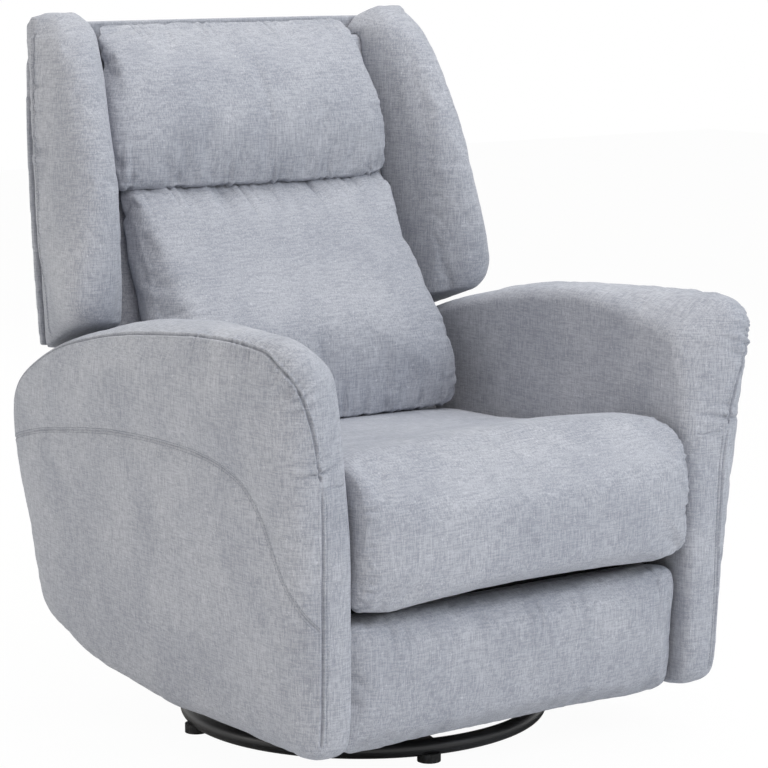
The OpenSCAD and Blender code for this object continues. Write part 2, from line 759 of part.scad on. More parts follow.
// Rings up the footrest pad: share of its height, share of its half width, share of its depth
pad_ring_shares = [
  [0, 0.900, 0.42], [0.015, 0.945, 0.60], [0.06, 0.985, 0.80], [0.14, 1, 0.90], [0.3, 1, 0.96],
  [0.5, 0.996, 1], [0.7, 0.998, 1], [0.86, 1, 0.97], [0.95, 0.995, 0.86], [0.99, 0.975, 0.66],
  [1, 0.95, 0.48]
];
pad_taper = 18;
module footrest_pad() {
  back = board_back_y - foot_board_t - soft_gap;
  color(fabric) loft([
    for (s = pad_ring_shares)
      let (front = back - foot_pad_t * s.z + pad_taper * (1 - s.x) * s.z)
      [for (p = puff(s.y * (arm_in - 4 * soft_gap), front, back, 0.35, 28))
        [p.x, p.y, mix(foot_low_z, foot_top_z, s.x)]]
  ]);
}

// The back is laid out by heights, as shares between the seat's top and the wing tips
back_z0 = seat_top_z + seat_rear_t;
function back_z(s) = mix(back_z0, chair_h, s);
function back_s(z) = (z - back_z0) / (chair_h - back_z0);
// Rear face of the back at height z, upright at the top and swept forward below
rear_table = [
  for (i = [0 : 9])
    let (z = mix(back_foot_z, chair_h, i / 9))
    [z, half_d - back_crown - back_lean * pow((chair_h - z) / chair_h, 2)]
];
function rear_y(z) = lookup(z, rear_table);
// Front line of the back's foam core: height share, share of half_d
core_shares = [[-0.086, 0.464], [0.539, 0.776], [0.925, 0.885]];
core_foot_gap = 18;
core_line = [
  for (i = [0 : 2])
    [i == 0 ? seat_rear_y + core_foot_gap : core_shares[i].y * half_d, back_z(core_shares[i].x)]
];
core_foot = [core_line[0].x + 0.09 * half_d, back_foot_z];
function core_front(z) = lookup(z, [for (p = core_line) [p.y, p.x]]);
back_in = plane(3) - back_panel_t;
module back_side2d(grow = 0) {
  top = core_line[2].y + grow;
  polygon(concat(
    [core_foot],
    [for (p = core_line) p - [grow, -grow]],
    [[rear_y(top) - outside_back_t, top]],
    [for (i = [9 : -1 : 0]) if (rear_table[i].x < top) [rear_table[i].y - outside_back_t, rear_table[i].x]]
  ));
}
back_rail_t = 18;
module back_side_panels() {
  color(ply) both_sides() slab(back_in, back_panel_t) back_side2d();
}
module back_rails() {
  rails = [
    [back_foot_z, 0.05 * chair_h], [core_line[1].y - 0.02 * chair_h, 0.04 * chair_h],
    [core_line[2].y - 0.045 * chair_h, 0.04 * chair_h]
  ];
  color(ply) for (r = rails)
    translate([-back_in, rear_y(r[0]) - outside_back_t - back_rail_t, r[0]])
      cube([2 * back_in, back_rail_t, r[1]]);
}
// Depth of the core at its foot, its bend and its top, in front of the rear rails
core_rail_z = [back_foot_z, core_line[1].y - 0.02 * chair_h, core_line[2].y - 0.045 * chair_h];
core_depth = [
  for (i = [0 : 2])
    min(back_core_t, rear_y(core_rail_z[i]) - outside_back_t - back_rail_t - soft_gap - core_line[i].x)
];
module core2d(y0) {
  polygon(concat(
    [for (i = [0 : 2]) [core_line[i].x + y0, core_line[i].y]],
    [for (i = [2 : -1 : 0]) [core_line[i].x + max(core_depth[i], 2 * y0), core_line[i].y]]
  ));
}
module back_core() {
  color(foam) slab(-back_in, 2 * back_in) core2d(soft_gap);
}
web_count = 5;
web_h = 48;
web_t = 2;
module back_webbing() {
  color(black) slab(-back_in, 2 * back_in) intersection() {
    polygon([
      core_line[0] + [back_core_t, 0], core_line[0] + [back_core_t + web_t, 0],
      core_line[1] + [back_core_t + web_t, 0], core_line[1] + [back_core_t, 0]
    ]);
    for (i = [0 : web_count - 1])
      translate([0, mix(core_line[0].y + web_h, core_line[1].y - web_h, i / (web_count - 1)) - web_h / 2])
        square([half_d, web_h]);
  }
}
bracket_top = [hinge.x + 0.05 * half_d, hinge.y + 0.14 * chair_h];
module back_brackets() {
  color(steel) both_sides() slab(plane(3), plate_t) difference() {
    link2d(hinge, bracket_top, hinge_lug_r - 1 * over);
    hole2d(hinge, pin_r);
  }
}

// Half width of the outside back by height: narrow between the arms, full behind the wings
wide_z = back_z(0.19);
wing_rear_x = arm_in + wing_overlap;
module outside_back() {
  narrow = arm_in - 4 * soft_gap;
  levels = concat(
    [for (i = [0 : 2]) [rear_table[i].x, narrow]],
    [[wide_z - over, narrow], [wide_z, wing_rear_x - 2 * over]],
    [for (i = [3 : 6]) [rear_table[i].x, wing_rear_x]],
    [
      [rear_table[7].x, wing_rear_x - over], [rear_table[8].x, wing_rear_x - 3 * over],
      [back_z(0.94), wing_rear_x - 7 * over], [back_z(0.975), wing_rear_x - 13 * over]
    ]
  );
  color(fabric) loft([
    for (l = levels)
      let (y = rear_y(l[0]), w = l[1])
      [for (p = concat(
        [for (s = [-1 : 0.25 : 1]) [s * (w - 1 * over), y - outside_back_t]],
        [[w, y - outside_back_t / 2]],
        [for (s = [1 : -0.25 : -1]) [s * (w - 1.5 * over), y + back_crown * (1 - s * s)]],
        [[-w, y - outside_back_t / 2]]
      )) [p.x, p.y, l[0]]]
  ]);
}

// Rings up a cushion: share of its height, share of its half width, front in shares of half_d, and
// how far its rear stands off the foam core, in shares of the core's thickness
lumbar_shares = [
  [0.000, 0.900, 0.282, 0.620], [0.012, 0.965, 0.233, 0.300], [0.050, 0.995, 0.205, 0.060],
  [0.130, 1.010, 0.192, 0.000], [0.250, 1.015, 0.207, 0.000], [0.400, 1.010, 0.274, 0.000],
  [0.550, 1.000, 0.369, 0.000],
  [0.700, 0.990, 0.467, 0.000], [0.820, 0.975, 0.545, 0.000], [0.920, 0.960, 0.613, 0.000],
  [0.980, 0.930, 0.670, 0.040],
  [1.000, 0.880, 0.709, 0.100]
];
head_shares = [
  [0.000, 0.900, 0.682, 0.120], [0.012, 0.955, 0.646, 0.040], [0.060, 0.985, 0.621, 0.000],
  [0.180, 1.000, 0.613, 0.000], [0.340, 0.995, 0.623, 0.000], [0.520, 0.985, 0.654, 0.000],
  [0.700, 0.965, 0.709, 0.000],
  [0.840, 0.950, 0.775, 0.000], [0.930, 0.935, 0.832, 0.000], [0.975, 0.915, 0.873, -0.400],
  [1.000, 0.880, 0.897, -0.360]
];
lumbar_half_w = 0.848 * arm_in;
head_half_w = 0.815 * arm_in;
function cushion_rings(shares, z0, z1, w, grow) = [
  for (s = shares)
    let (z = mix(z0, z1, s[0]), rear = core_front(z) - s[3] * back_core_t)
    [for (p = puff(s[1] * w + grow, s[2] * half_d - grow, rear, 0.42, 28)) [p.x, p.y, z]]
];
lumbar_z = [back_z0 + 1 * over, back_z(0.570)];
head_z = [back_z(0.576), back_z(0.958)];
module lumbar_form(grow) {
  loft(cushion_rings(lumbar_shares, lumbar_z[0] - grow, lumbar_z[1] + grow, lumbar_half_w, grow));
}
module head_form(grow) {
  loft(cushion_rings(head_shares, head_z[0] - grow, head_z[1] + grow, head_half_w, grow));
}
module lumbar_cushion() {
  color(fabric) lumbar_form(0);
}
module head_cushion() {
  color(fabric) head_form(0);
}

// Heights up a wing, and its outline there: the front edge, the outer front corner, the inner front
// corner and the crease against the cushions. Heights are back shares, the rest shares of half_d.
wing_level_shares = [
  0.228, 0.242, 0.268, 0.32, 0.40, 0.49, 0.58, 0.67, 0.76, 0.84, 0.90, 0.945, 0.975, 0.992, 1
];
wing_front_shares = [
  [0.200, 0.508], [0.232, 0.473], [0.280, 0.442], [0.360, 0.432], [0.500, 0.440], [0.600, 0.463],
  [0.700, 0.512],
  [0.790, 0.570], [0.860, 0.623], [0.930, 0.693], [0.970, 0.764], [0.992, 0.826], [1.000, 0.869]
];
wing_outer_shares = [
  [0.200, 0.856], [0.232, 0.917], [0.285, 0.958], [0.360, 0.947], [0.460, 0.918], [0.580, 0.879],
  [0.720, 0.853],
  [0.860, 0.826], [0.945, 0.816], [0.985, 0.797], [1.000, 0.764]
];
wing_corner_shares = [
  [0.200, 0.758], [0.550, 0.744], [0.780, 0.730], [0.900, 0.707], [0.975, 0.677], [1.000, 0.707]
];
wing_crease_shares = [
  [0.200, 0.671], [0.400, 0.656], [0.580, 0.625], [0.760, 0.607], [0.860, 0.590], [0.960, 0.600],
  [1.000, 0.690]
];
wing_tip = 30;
// Low rings are tilted, so that the wing's lower edge falls towards the rear above the arm
function wing_tilt(s) = mix(-0.36, 0, min(1, (s - 0.228) / 0.25));
function wing_ring(s) =
  let (
    z = back_z(s), yf = lookup(s, wing_front_shares) * half_d,
    zr = z + wing_tilt(s) * 0.5 * (rear_y(z) - outside_back_t - yf),
    yr = rear_y(zr) - outside_back_t - soft_gap - (s > 0.97 ? wing_tip * (s - 0.97) / 0.03 : 0),
    xo = lookup(s, wing_outer_shares) * half_d,
    xc = lookup(s, wing_corner_shares) * half_d, xi = lookup(s, wing_crease_shares) * half_d,
    yc = min(core_front(z), yr - 8 * over), t = yr - yf
  )
  [for (p = smooth([
    [xi, yr], [xi, yc], [mix(xi, xc, 0.55), mix(yc, yf, 0.62)], [xc, yf + 0.10 * t],
    [mix(xc, xo, 0.32), yf], [mix(xc, xo, 0.74), yf + 0.01 * t], [xo, yf + 0.14 * t],
    [mix(xo, wing_rear_x, 0.5) + 1 * over, mix(yf, yr, 0.58)], [wing_rear_x, yr - 0.09 * t],
    [wing_rear_x - 0.08 * t, yr]
  ], 2)) [p.x, min(p.y, yr), z + wing_tilt(s) * (p.y - 0.5 * (yf + yr))]];
module wing_left() {
  color(fabric) difference() {
    loft([for (s = wing_level_shares) wing_ring(s)]);
    slab(0, plane(3) + soft_gap) union() {
      back_side2d(soft_gap);
      translate([core_line[2].x - soft_gap, core_line[0].y])
        square([half_d, core_line[2].y - core_line[0].y + soft_gap]);
    }
    lumbar_form(soft_gap);
    head_form(soft_gap);
  }
}
module wing_right() {
  mirror([1, 0, 0]) wing_left();
}

base_ring();
base_cross_arms();
base_hub();
floor_glides();
lower_bearing_plate();
bearing_balls();
swivel_bolt();
swivel_nut();
upper_bearing_plate();
glider_side_tubes();
glider_cross_tubes();
glider_posts();
glider_pins();
front_glide_links();
rear_glide_links();
carriage_rails();
carriage_pins();
carriage_cross_tubes();
mechanism_plate_left();
mechanism_plate_right();
swing_pins();
arm_panel_left();
arm_panel_right();
arm_left();
arm_right();
rear_skirt();
front_swing_links();
rear_swing_links();
seat_plate_left();
seat_plate_right();
seat_hangers();
seat_pins();
seat_side_rails();
seat_cross_rails();
seat_springs();
seat_cushion();
footrest_drive_links();
footrest_drive_pins();
footrest_control_links();
footrest_riser_links();
footrest_riser_pins();
footrest_guide_links();
footrest_brackets();
footrest_bracket_pins();
footrest_board();
footrest_pad();
back_brackets();
back_side_panels();
back_rails();
back_webbing();
back_core();
outside_back();
lumbar_cushion();
head_cushion();
wing_left();
wing_right();
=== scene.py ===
"""Swivel glider recliner: the chair's fabric, foam, timber and steel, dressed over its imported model."""

import math

import bmesh
import bpy
import numpy as np
from mathutils import Matrix, Vector
from mathutils.bvhtree import BVHTree


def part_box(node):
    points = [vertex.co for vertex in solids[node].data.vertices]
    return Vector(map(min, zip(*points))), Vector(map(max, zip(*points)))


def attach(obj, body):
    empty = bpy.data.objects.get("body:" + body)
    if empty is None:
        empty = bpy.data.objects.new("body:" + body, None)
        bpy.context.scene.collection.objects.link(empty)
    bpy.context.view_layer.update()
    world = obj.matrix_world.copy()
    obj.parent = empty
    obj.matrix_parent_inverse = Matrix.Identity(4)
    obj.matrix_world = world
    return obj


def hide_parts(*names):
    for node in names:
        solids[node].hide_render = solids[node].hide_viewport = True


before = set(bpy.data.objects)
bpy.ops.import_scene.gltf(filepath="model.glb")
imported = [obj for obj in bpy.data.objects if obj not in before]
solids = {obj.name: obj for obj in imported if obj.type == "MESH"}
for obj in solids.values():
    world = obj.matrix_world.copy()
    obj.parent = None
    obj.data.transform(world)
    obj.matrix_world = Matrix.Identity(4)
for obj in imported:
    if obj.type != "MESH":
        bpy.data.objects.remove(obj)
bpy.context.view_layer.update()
scene = bpy.context.scene

# The camera stands where the photograph was taken from: in front of the chair, to the sitter's right,
# a little above the arms, with a long lens.
eye = Vector((-2.3538, -3.2668, 1.1453))
aim = Vector((0.018, -0.003, 0.4757))
film = 36
focal_pixels = 2797.8
picture_pixels = 768
camera_roll = -0.2
lens = bpy.data.cameras.new("camera")
lens.sensor_width = film
lens.lens = focal_pixels * film / picture_pixels
lens.shift_x = 6.0 / picture_pixels
lens.shift_y = 14.4 / picture_pixels
camera = bpy.data.objects.new("camera", lens)
scene.collection.objects.link(camera)
camera.matrix_world = (
    Matrix.Translation(eye)
    @ (aim - eye).to_track_quat("-Z", "Y").to_matrix().to_4x4()
    @ Matrix.Rotation(math.radians(camera_roll), 4, "Z")
)
scene.camera = camera
scene.view_settings.view_transform = "Standard"


# Shader sockets are added and multiplied as plain sums; everything else is one call that names the
# node, its settings and what goes into it.
class Wire:
    """A socket of a shader. A sum or product of wires adds its Math nodes."""

    def __init__(self, tree, socket=None):
        self.tree = tree
        self.socket = socket

    def node(self, kind, into, out=0, **settings):
        made = self.tree.nodes.new(kind)
        for name, value in settings.items():
            setattr(made, name, value)
        for name, value in into.items():
            if isinstance(value, Wire):
                self.tree.links.new(value.socket, made.inputs[name])
            else:
                made.inputs[name].default_value = value
        return Wire(self.tree, made.outputs[out])

    def worked(self, operation, first, second):
        return self.node("ShaderNodeMath", {0: first, 1: second}, operation=operation)

    def __add__(self, other):
        return self.worked("ADD", self, other)

    __radd__ = __add__

    def __sub__(self, other):
        return self.worked("SUBTRACT", self, other)

    def __rsub__(self, other):
        return self.worked("SUBTRACT", other, self)

    def __mul__(self, other):
        return self.worked("MULTIPLY", self, other)

    __rmul__ = __mul__

    def between(self, low, high):
        """0 at low, 1 at high, smooth in between."""
        return self.node(
            "ShaderNodeMapRange", {"Value": self, "From Min": low, "From Max": high},
            interpolation_type="SMOOTHSTEP",
        )

    def blended(self, one, two):
        """The number one where this is 0, two where it is 1."""
        return one + self * (two - one)

    def scaled(self, stretch):
        return self.node("ShaderNodeVectorMath", {0: self, 1: stretch}, operation="MULTIPLY")

    def part(self, axis):
        return self.node("ShaderNodeSeparateXYZ", {0: self}, out=axis)

    def unary(self, operation):
        return self.node("ShaderNodeMath", {0: self}, operation=operation)

    def noise(self, stretch, detail=2, roughness=0.55, distortion=0):
        """Noise whose grain is finer along an axis the more that axis is stretched."""
        return self.node(
            "ShaderNodeTexNoise",
            {"Vector": self.scaled(stretch), "Scale": 1, "Detail": detail, "Roughness": roughness,
             "Distortion": distortion},
        )

    def relief(self, strength, distance):
        """The bump that this height gives a surface."""
        return self.node("ShaderNodeBump", {"Height": self, "Strength": strength, "Distance": distance})

    def tinted(self, one, two):
        """Colour one where this is 0, colour two where it is 1."""
        return self.node(
            "ShaderNodeMix", {0: self, 6: self.colour(one), 7: self.colour(two)}, out=2, data_type="RGBA"
        )

    def colour(self, value):
        return value if isinstance(value, Wire) else (*value, 1)

    def times(self, other):
        """Two colours laid over each other like glass."""
        return self.node(
            "ShaderNodeMix", {0: 1.0, 6: self, 7: other}, out=2, data_type="RGBA", blend_type="MULTIPLY"
        )


def finish(name, **fixed):
    """A new material with its shader's fixed values, a wire to grow nodes from, and the shader."""
    made = bpy.data.materials.new(name)
    made.use_nodes = True
    tree = made.node_tree
    shader = tree.nodes["Principled BSDF"]
    for socket, value in fixed.items():
        shader.inputs[socket.replace("_", " ")].default_value = value
    place = Wire(tree).node("ShaderNodeTexCoord", {}, out=3)
    facing = Wire(tree).node("ShaderNodeTexCoord", {}, out=1)
    return made, place, facing, shader


def into(shader, socket, wire):
    wire.tree.links.new(wire.socket, shader.inputs[socket])


# The floor and the air round the chair are a pale studio: white to the camera and in reflections,
# with soft lamps at a plain level and a faint shadow on the floor.
world = bpy.data.worlds.new("studio")
scene.world = world
world.use_nodes = True
air = Wire(world.node_tree)
seen = air.node("ShaderNodeLightPath", {}, out=0)
mirrored = air.node("ShaderNodeLightPath", {}, out=3)
through = air.node("ShaderNodeLightPath", {}, out=6)
looked_at = seen + mirrored + through
shown = looked_at.node("ShaderNodeClamp", {0: looked_at})
soft = air.node("ShaderNodeBackground", {"Color": (0.97, 0.965, 0.88, 1), "Strength": 0.55})
white = air.node("ShaderNodeBackground", {"Color": (1, 1, 1, 1), "Strength": 1.0})
mixed = air.node("ShaderNodeMixShader", {0: shown, 1: soft, 2: white})
world.node_tree.links.new(mixed.socket, world.node_tree.nodes["World Output"].inputs[0])

floor_half = 9
floor_corners = [(x * floor_half, y * floor_half, 0) for x, y in ((-1, -1), (1, -1), (1, 1), (-1, 1))]
floor_mesh = bpy.data.meshes.new("floor")
floor_mesh.from_pydata(floor_corners, [], [(0, 1, 2, 3)])
floor = bpy.data.objects.new("floor", floor_mesh)
scene.collection.objects.link(floor)
pale = bpy.data.materials.new("pale floor")
pale.use_nodes = True
ground = Wire(pale.node_tree)
matt = ground.node("ShaderNodeBsdfDiffuse", {"Color": (0.90, 0.90, 0.91, 1)})
glow = ground.node("ShaderNodeEmission", {"Color": (1, 1, 1, 1), "Strength": 1.0})
straight = ground.node("ShaderNodeLightPath", {}, out=0)
floor_glow = 0.965
surface = ground.node("ShaderNodeMixShader", {0: straight * floor_glow, 1: matt, 2: glow})
pale.node_tree.links.new(surface.socket, pale.node_tree.nodes["Material Output"].inputs[0])
floor_mesh.materials.append(pale)

lamp_aim = Vector((0, 0, 0.45))
lamps = [
    ("key", (-1.7, -3.3, 3.4), 2.4, 48, (1.0, 0.955, 0.955)),
    ("front", (1.5, -3.2, 2.7), 2.2, 62, (0.82, 0.91, 1.0)),
    ("side", (-3.6, 1.1, 2.1), 1.8, 30, (1.0, 0.965, 0.92)),
    ("crown", (0.4, 0.0, 3.6), 2.2, 52, (0.98, 0.97, 0.95)),
    ("back", (1.4, 3.4, 2.2), 2.2, 22, (1.0, 0.99, 0.98)),
]
for name, place, size, power, tint in lamps:
    data = bpy.data.lights.new(name, "AREA")
    data.shape = "DISK"
    data.size = size
    data.energy = power
    data.color = tint
    lamp = bpy.data.objects.new(name, data)
    scene.collection.objects.link(lamp)
    lamp.location = place
    lamp.rotation_euler = (lamp_aim - Vector(place)).to_track_quat("-Z", "Y").to_euler()


def painted(node, material):
    """Gives a solid of the model its real finish."""
    mesh = solids[node].data
    for slot in range(max(1, len(mesh.materials))):
        if len(mesh.materials) <= slot:
            mesh.materials.append(material)
        else:
            mesh.materials[slot] = material


# The ring base: a bent steel tube with a flat cross inside, powder coated in satin black, standing on
# four nylon glides. Powder coat has a fine orange peel, and dust dulls the top of the tube.
black_coat, place, facing, shader = finish("black powder coat", Specular_IOR_Level=0.5)
peel = place.noise((900, 900, 900), detail=1)
dust = place.noise((14, 14, 14), detail=4) * facing.part(2).between(0.3, 1)
into(shader, "Base Color", dust.between(0.35, 0.8).tinted((0.012, 0.012, 0.014), (0.05, 0.05, 0.053)))
into(shader, "Roughness", 0.32 + dust * 0.25 + peel * 0.06)
into(shader, "Normal", peel.relief(0.12, 0.0004))
for node in ("base_ring", "base_cross_arms", "base_hub", "glider_side_tubes", "glider_cross_tubes",
             "carriage_cross_tubes"):
    painted(node, black_coat)

nylon, place, facing, shader = finish("black nylon", Specular_IOR_Level=0.4)
scuff = place.noise((260, 260, 120), detail=3)
into(shader, "Base Color", scuff.between(0.45, 0.75).tinted((0.010, 0.010, 0.011), (0.045, 0.045, 0.047)))
into(shader, "Roughness", 0.5 + scuff * 0.2)
into(shader, "Normal", scuff.relief(0.15, 0.0004))
painted("floor_glides", nylon)

# The swivel bearing, its bolt and all pivot pins are zinc plated: bright, faintly mottled and
# brushed round by the tumbling drum.
zinc, place, facing, shader = finish("zinc plate", Metallic=1.0)
spangle = place.noise((70, 70, 70), detail=3, roughness=0.6)
brush = place.noise((1500, 1500, 90), detail=1)
into(shader, "Base Color", spangle.between(0.3, 0.7).tinted((0.50, 0.51, 0.53), (0.66, 0.67, 0.68)))
into(shader, "Roughness", 0.26 + spangle * 0.14 + brush * 0.08)
into(shader, "Normal", brush.relief(0.08, 0.0002))
for node in ("lower_bearing_plate", "upper_bearing_plate", "bearing_balls", "swivel_bolt", "swivel_nut",
             "glider_pins", "carriage_pins", "swing_pins", "seat_pins", "footrest_drive_pins",
             "footrest_riser_pins", "footrest_bracket_pins"):
    painted(node, zinc)

# Links, plates and brackets are stamped from 4 mm strip and coated in satin graphite; the coat is
# rubbed thin where the edges meet their neighbours.
graphite, place, facing, shader = finish("graphite coat", Metallic=0.35)
mill = place.noise((40, 260, 260), detail=2)
rub = place.noise((55, 55, 55), detail=5, roughness=0.7)
worn = rub.between(0.62, 0.74)
into(shader, "Base Color", worn.tinted(mill.tinted((0.085, 0.087, 0.092), (0.115, 0.117, 0.122)),
                                       (0.22, 0.22, 0.23)))
into(shader, "Roughness", 0.46 + mill * 0.12 - worn * 0.12)
into(shader, "Normal", mill.relief(0.1, 0.0003))
for node in ("glider_posts", "front_glide_links", "rear_glide_links", "carriage_rails",
             "mechanism_plate_left", "mechanism_plate_right", "front_swing_links", "rear_swing_links",
             "seat_plate_left", "seat_plate_right", "seat_hangers", "footrest_drive_links",
             "footrest_control_links", "footrest_riser_links", "footrest_guide_links",
             "footrest_brackets", "back_brackets"):
    painted(node, graphite)

# Zigzag springs carry the seat cushion: bent wire, bare and oiled, a little brown with age,
# stretched from front to rear of the seat's frame.
wire_steel, place, facing, shader = finish("oiled spring wire", Metallic=1.0)
oil = place.noise((60, 60, 60), detail=4)
into(shader, "Base Color", oil.between(0.4, 0.7).tinted((0.33, 0.33, 0.34), (0.24, 0.20, 0.16)))
into(shader, "Roughness", 0.3 + oil * 0.2)
painted("seat_springs", wire_steel)

# Frame panels and rails are sanded birch plywood: long pale grain on the faces and thin darker plies
# along the cut edges.
ply, place, facing, shader = finish("birch plywood", Specular_IOR_Level=0.35)
grain = place.noise((26, 10, 150), detail=4, roughness=0.6, distortion=0.6)
pore = place.noise((420, 60, 900), detail=2)
edge = 1 - facing.part(0).unary("ABSOLUTE").between(0.4, 0.8)
plies = (place.part(0) * 4200).unary("SINE")
stripe = plies.between(-0.2, 0.6) * edge
face_tone = grain.between(0.3, 0.7).tinted((0.55, 0.39, 0.22), (0.72, 0.55, 0.34))
darkened = stripe * 0.55 + pore.between(0.6, 0.8) * 0.25
into(shader, "Base Color", darkened.tinted(face_tone, (0.34, 0.21, 0.11)))
into(shader, "Roughness", 0.6 + pore * 0.15)
into(shader, "Normal", (pore + grain).relief(0.2, 0.0004))
for node in ("arm_panel_left", "arm_panel_right", "seat_side_rails", "seat_cross_rails", "footrest_board",
             "back_rails"):
    painted(node, ply)

# The back's core is carried on elastic webbing: black tape with rubber in its ribbed weave, pulled
# taut across the frame.
webbing, place, facing, shader = finish("elastic webbing", Specular_IOR_Level=0.25)
rib = (place.part(0) * 2600).unary("SINE")
into(shader, "Base Color", rib.between(-1, 1).tinted((0.018, 0.018, 0.020), (0.055, 0.055, 0.06)))
into(shader, "Roughness", 0.75 + rib * 0.08)
into(shader, "Normal", rib.relief(0.3, 0.0006))
painted("back_webbing", webbing)


# The cover is one cloth all over: a soft chenille, woven from heathered blue-grey yarn with paler
# slubs, so that fine upright and level streaks cross, under broad cloudy shading where the pile lies.
def cover(name, dark, mid, light):
    made, place, facing, shader = finish(
        name, Specular_IOR_Level=0.25, Sheen_Weight=0.22, Sheen_Roughness=0.45,
        Sheen_Tint=(0.86, 0.9, 1.0, 1),
    )
    lying = facing.part(2).unary("ABSOLUTE").between(0.5, 0.8)
    upright = place.noise((520, 520, 52), detail=2, roughness=0.6)
    level = place.noise((60, 60, 560), detail=2, roughness=0.6)
    lengthways = place.noise((520, 52, 520), detail=2, roughness=0.6)
    crossways = place.noise((52, 520, 60), detail=2, roughness=0.6)
    warp = lying.blended(upright, lengthways)
    weft = lying.blended(level, crossways)
    streaks = (warp * 0.55 + weft * 0.45).between(0.33, 0.67)
    slub = place.noise((300, 300, 210), detail=3, roughness=0.7).between(0.58, 0.74)
    fleck = place.noise((1150, 1150, 1150), detail=1).between(0.35, 0.7)
    cloud = place.noise((11, 11, 8), detail=3, roughness=0.55, distortion=0.4).between(0.3, 0.72)
    yarn = streaks.tinted(dark, mid)
    yarn = (slub * 0.55 + fleck * 0.22).tinted(yarn, light)
    shade = cloud.tinted((0.90, 0.905, 0.92), (1.07, 1.065, 1.06))
    # Painted shade: the cloth is darkened at the seams and in the hollows of their folds, for the shade
    # that falls into them.
    crease = place.node("ShaderNodeAttribute", {}, out=2, attribute_name="crease")
    into(shader, "Base Color", yarn.times(shade).times(crease.tinted((1, 1, 1), (0.30, 0.31, 0.34))))
    into(shader, "Roughness", 0.86 + fleck * 0.08)
    weave = warp + weft + fleck * 0.5
    into(shader, "Normal", weave.relief(0.32, 0.0010))
    return made


chenille = cover("heathered chenille", (0.235, 0.248, 0.289), (0.408, 0.419, 0.468), (0.628, 0.634, 0.688))
# The seam thread is darker than the cloth: partly its own tone, partly painted shade for the dark line
# along the seams.
thread_and_seam_shade = cover("seam thread", (0.16, 0.17, 0.20), (0.25, 0.265, 0.30), (0.40, 0.42, 0.46))


# The tools of the upholsterer: laying a skin through rings, filling it until it is taut, and sewing a line
# into it that draws the cover in and gathers it on both sides, with painted shade in the seam and in the
# hollows of its folds.
def skin(name, rings):
    """A closed mesh through rings of points, with a fan of faces over either end."""
    count = len(rings[0])
    points = [tuple(p) for ring in rings for p in ring]
    faces = []
    for k in range(len(rings) - 1):
        for j in range(count):
            a, b = k * count + j, k * count + (j + 1) % count
            faces.append((a, b, b + count, a + count))
    for at in (0, len(rings) - 1):
        points.append(tuple(np.array(rings[at]).mean(0)))
        for j in range(count):
            a, b = at * count + j, at * count + (j + 1) % count
            faces.append((b, a, len(points) - 1) if at == 0 else (a, b, len(points) - 1))
    mesh = bpy.data.meshes.new(name)
    mesh.from_pydata(points, [], faces)
    mesh.validate()
    return placed(name, mesh)


def placed(name, mesh):
    made = bpy.data.objects.new(name, mesh)
    scene.collection.objects.link(made)
    return made


def spots(piece, what="co"):
    """Where the piece's points are, one row each."""
    flat = np.empty(len(piece.data.vertices) * 3, dtype=np.float64)
    piece.data.vertices.foreach_get(what, flat)
    return flat.reshape(-1, 3)


def outward(piece):
    return spots(piece, "normal")


def move_to(piece, points):
    piece.data.vertices.foreach_set("co", points.astype(np.float32).ravel())
    piece.data.update()


def settled(piece):
    """Applies the piece's modifiers to its mesh."""
    graph = bpy.context.evaluated_depsgraph_get()
    graph.update()
    old = piece.data
    piece.data = bpy.data.meshes.new_from_object(piece.evaluated_get(graph))
    piece.modifiers.clear()
    bpy.data.meshes.remove(old)


def evened(piece, voxel, passes):
    """One even net of small faces, with the facets of its pattern smoothed away."""
    net = piece.modifiers.new("net", "REMESH")
    net.mode = "VOXEL"
    net.voxel_size = voxel
    ease = piece.modifiers.new("ease", "SMOOTH")
    ease.iterations = passes
    ease.factor = 0.5
    settled(piece)


def filled(piece, pressure, cap, held, ease, frames):
    """Stuffs the cover: the net is blown up as cloth and no point may travel further than cap."""
    start = spots(piece)
    cloth = piece.modifiers.new("cloth", "CLOTH")
    work = cloth.settings
    work.quality = 4
    work.mass = 0.3
    work.tension_stiffness = 12
    work.compression_stiffness = 12
    work.shear_stiffness = 6
    work.bending_stiffness = 0.6
    work.use_pressure = True
    work.uniform_pressure_force = pressure
    work.shrink_min = -ease
    work.effector_weights.gravity = 0
    cloth.collision_settings.use_collision = False
    cloth.collision_settings.use_self_collision = False
    group = piece.vertex_groups.new(name="held")
    group.add(np.nonzero(held > 0.5)[0].tolist(), 1.0, "REPLACE")
    work.vertex_group_mass = "held"
    cloth.point_cache.frame_start = 1
    cloth.point_cache.frame_end = frames
    for step in range(1, frames + 1):
        scene.frame_set(step)
    settled(piece)
    scene.frame_set(1)
    piece.vertex_groups.clear()
    went = spots(piece) - start
    far = np.linalg.norm(went, axis=1)
    most = cap if np.isscalar(cap) else cap(start)
    share = np.minimum(1, most * np.tanh(far / most) / np.maximum(far, 1e-9))
    went *= share[:, None]
    move_to(piece, start + went)


def finer(piece):
    again = piece.modifiers.new("finer", "SUBSURF")
    again.levels = 1
    again.render_levels = 1
    settled(piece)


def along(points, line):
    """How far each point is from a line, and how far along the line its nearest place lies."""
    line = np.asarray(line, dtype=np.float64)
    best = np.full(len(points), 9.0)
    where = np.zeros(len(points))
    run = 0.0
    for one, two in zip(line[:-1], line[1:]):
        step = two - one
        length = np.linalg.norm(step)
        share = np.clip((points - one) @ step / length ** 2, 0, 1)
        off = np.linalg.norm(points - one - share[:, None] * step, axis=1)
        near = off < best
        best[near] = off[near]
        where[near] = run + share[near] * length
        run += length
    return best, where


def creased(piece, amount):
    """Keeps in the mesh how much painted shade each point of a seam or fold gets; the cover is darkened
    there.
    """
    store = piece.data.attributes.get("crease") or piece.data.attributes.new("crease", "FLOAT", "POINT")
    was = np.empty(len(piece.data.vertices), dtype=np.float32)
    store.data.foreach_get("value", was)
    store.data.foreach_set("value", np.maximum(was, amount).astype(np.float32))


def everywhere(points, lean):
    return np.ones(len(points))


